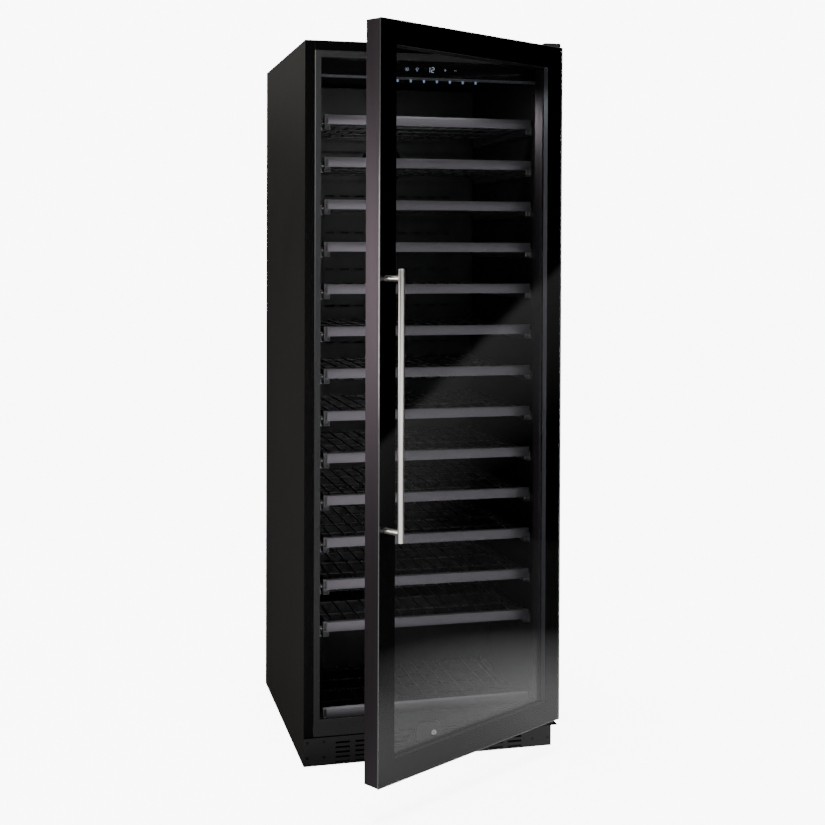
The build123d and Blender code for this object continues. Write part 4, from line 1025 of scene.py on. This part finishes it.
# The bottom strip wears the paler copy of the strip finish: painted light.
bottom_strip = paint(copy_of(strip, "bottom_strip", drop), strip_metal_painted_paler)
bottom_bracket = paint(copy_of(bracket, "bottom_bracket", drop), pale_moulding)
bottom_rack = make_rack("bottom_rack", bottom_high.y)
bottom_rack.data.transform(Matrix.Translation(drop))
paint(bottom_rack, wire_coat)
for piece in (bottom_strip, bottom_bracket, bottom_rack):
    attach(piece, "cabinet")
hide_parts("bottom_shelf")
for pattern, *_ in patterns:
    bpy.data.objects.remove(pattern)

# %% [markdown]
# The control panel is one glossy moulding. Its marks are printed and lit from behind: a small
# two-digit display in the middle with a lamp and a light mark to its left, plus and minus to
# its right. Each stroke is a thin bar with eased edges, so it stays crisp from close by.

# %% Lit marks


def glowing(name, shade, strength):
    """A lit mark whose glow varies faintly at random."""
    finish = Finish(name)
    cells = finish.noise(finish.place(), 500.0)
    tint = finish.mix(cells, tuple(channel * 0.9 for channel in shade), shade)
    return finish.surface(
        Base_Color=(*shade, 1), Roughness=0.4, Emission_Color=tint, Emission_Strength=strength,
    )


mark_white = glowing("mark_white", (0.75, 0.85, 1.0), 0.28)
digit_white = glowing("digit_white", (0.7, 0.85, 1.0), 0.5)
lamp_blue = glowing("lamp_blue", (0.5, 0.64, 1.0), 0.10)

display_low, display_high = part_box("display_window")
mark_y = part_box("control_panel")[0].y
mark_z = (display_low.z + display_high.z) / 2
MARK_THICK = 0.3 * MM


def stroke(x0, z0, x1, z1, width):
    """A thin raised bar on the panel's front between two points."""
    start, end = Vector((x0, 0, z0)), Vector((x1, 0, z1))
    run = end - start
    high = (run.length + width / 2, MARK_THICK, width / 2)
    bar = block("stroke", (-width / 2, 0, -width / 2), high)
    edit(bar, "EDGE", along(1))
    bpy.ops.mesh.bevel(offset=width * 0.35, segments=2)
    clear()
    slope = -math.atan2(run.z, run.x)
    bar.data.transform(Matrix.Translation(start) @ Matrix.Rotation(slope, 4, "Y"))
    return bar


def circle_mark(x, z, radius, width):
    """A ring of short strokes."""
    steps = 12
    turns = [2 * math.pi * step / steps for step in range(steps + 1)]
    points = [(x + radius * math.cos(turn), z + radius * math.sin(turn)) for turn in turns]
    return [stroke(*a, *b, width) for a, b in zip(points, points[1:])]


def lay_marks(name, pieces, finish):
    """Join strokes drawn about the panel's middle and lay them on its front."""
    made = join(name, pieces)
    made.data.transform(Matrix.Translation((0, mark_y - MARK_THICK, mark_z)))
    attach(paint(made, finish), "cabinet")
    return made


LINE = 0.55 * MM
LIGHT_X, LAMP_X, PLUS_X, MINUS_X = -57 * MM, -33 * MM, 34 * MM, 59 * MM
SUN_RADIUS, RAY_START, RAY_END = 2.4 * MM, 3.6 * MM, 4.6 * MM
BULB_RADIUS, BULB_LIFT, CAP_HALF = 2.6 * MM, 1.2 * MM, 1.2 * MM
SIGN_HALF = 3 * MM
sun = circle_mark(LIGHT_X, 0, SUN_RADIUS, LINE)
for step in range(8):
    ray = Vector((math.cos(step * math.pi / 4), math.sin(step * math.pi / 4)))
    start, end = ray * RAY_START, ray * RAY_END
    sun.append(stroke(LIGHT_X + start.x, start.y, LIGHT_X + end.x, end.y, LINE))
lamp = circle_mark(LAMP_X, BULB_LIFT, BULB_RADIUS, LINE)
for level_z in (-2.6 * MM, -3.9 * MM):
    lamp.append(stroke(LAMP_X - CAP_HALF, level_z, LAMP_X + CAP_HALF, level_z, LINE))
plus = [
    stroke(PLUS_X - SIGN_HALF, 0, PLUS_X + SIGN_HALF, 0, LINE),
    stroke(PLUS_X, -SIGN_HALF, PLUS_X, SIGN_HALF, LINE),
]
minus = [stroke(MINUS_X - SIGN_HALF, 0, MINUS_X + SIGN_HALF, 0, LINE)]
lay_marks("panel_marks", sun + lamp + plus + minus, mark_white)

# %% [markdown]
# The display shows two plain figures, each drawn from the segments that are lit.

# %% Two-digit display
DIGIT_WIDTH = 6.0 * MM
DIGIT_HEIGHT = 11.0 * MM
SEGMENTS = {
    "a": ((0, 1), (1, 1)), "b": ((1, 1), (1, 0.5)), "c": ((1, 0.5), (1, 0)),
    "d": ((0, 0), (1, 0)), "e": ((0, 0.5), (0, 0)), "f": ((0, 1), (0, 0.5)),
    "g": ((0, 0.5), (1, 0.5)),
}
DIGITS = {"1": "bc", "2": "abged"}
SEGMENT_GAP = 0.8 * MM
SEGMENT_WIDTH = 1.1 * MM
FIRST_LEFT, SECOND_LEFT = -8.5 * MM, 1.5 * MM


def digit(figure, left):
    """The lit segments of one figure."""
    strokes = []
    for key in DIGITS[figure]:
        (x0, z0), (x1, z1) = SEGMENTS[key]
        start = Vector((left + x0 * DIGIT_WIDTH, (z0 - 0.5) * DIGIT_HEIGHT))
        end = Vector((left + x1 * DIGIT_WIDTH, (z1 - 0.5) * DIGIT_HEIGHT))
        trim = (end - start).normalized() * SEGMENT_GAP
        strokes.append(stroke(*(start + trim), *(end - trim), SEGMENT_WIDTH))
    return strokes


figures = digit("1", FIRST_LEFT) + digit("2", SECOND_LEFT)
lay_marks("display_digits", figures, digit_white)

# %% [markdown]
# The panel and its window are deep gloss, so the marks seem to float in them. The light bar
# below holds small blue-white lenses, and one narrow lamp just under them lights the cavity.

# %% Panel, display window, light bar and lamps
paint(nodes["control_panel"], gloss_moulding)
paint(nodes["display_window"], gloss_moulding)
bar_glow = Finish("bar_glow")
bar_cells = bar_glow.noise(bar_glow.place(), 30.0)
bar_glow.surface(
    Base_Color=bar_glow.mix(bar_cells, (0.05, 0.05, 0.055), (0.08, 0.08, 0.085)),
    Roughness=0.3 + 0.1 * bar_cells,
    Emission_Color=(0.5, 0.6, 0.8, 1), Emission_Strength=0.008,
)
paint(nodes["lamp_bar"], bar_glow)
paint(nodes["lamp_lenses"], lamp_blue)
lamp_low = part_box("lamp_lenses")[0]
softbox(
    "cavity_lamp", (0, lamp_low.y, lamp_low.z - 1 * MM), (0, 0.12, 0.9), 0.24, 0.006, 0.9,
    (0.95, 0.98, 0.95),
)

# %% [markdown]
# The rest of the cabinet keeps its CAD shapes, which are already the real folded and moulded
# ones. Each only needs the finish that the real piece has.

# %% Finishes on the carried-over pieces
carried = {
    shell_coat: ["side_panel_left", "side_panel_right", "top_panel"],
    plinth_coat: ["lower_fascia", "plinth_grille"],
    zinc_sheet: ["back_panel", "rear_grille"],
    foam_cream: ["insulation_foam"],
    liner_moulding: ["inner_liner"],
    tray_moulding: ["drip_tray"],
    duct_moulding: ["duct_cover"],
    fan_moulding: [
        "circulation_fan_frame", "circulation_fan_rotor", "condenser_fan_frame",
        "condenser_fan_rotor", "hinge_cover", "hinge_bushes", "lock_housing",
        "foot_front_left", "foot_front_right", "foot_rear_left", "foot_rear_right",
    ],
    tube_metal: ["evaporator", "condenser"],
    copper_tube: ["filter_drier"],
    compressor_enamel: ["compressor"],
    mount_rubber: ["compressor_mounts"],
    gloss_moulding: ["mains_inlet"],
    blackened: ["plinth_screws"],
    black_steel: ["bottom_hinge", "base_pan"],
    hinge_steel: ["top_hinge"],
    rail_zinc: ["wall_rails"],
    plated_brass: ["lock_barrel"],
}
for finish, names in carried.items():
    for name in names:
        paint(nodes[name], finish)
print("carried over", sum(len(names) for names in carried.values()))
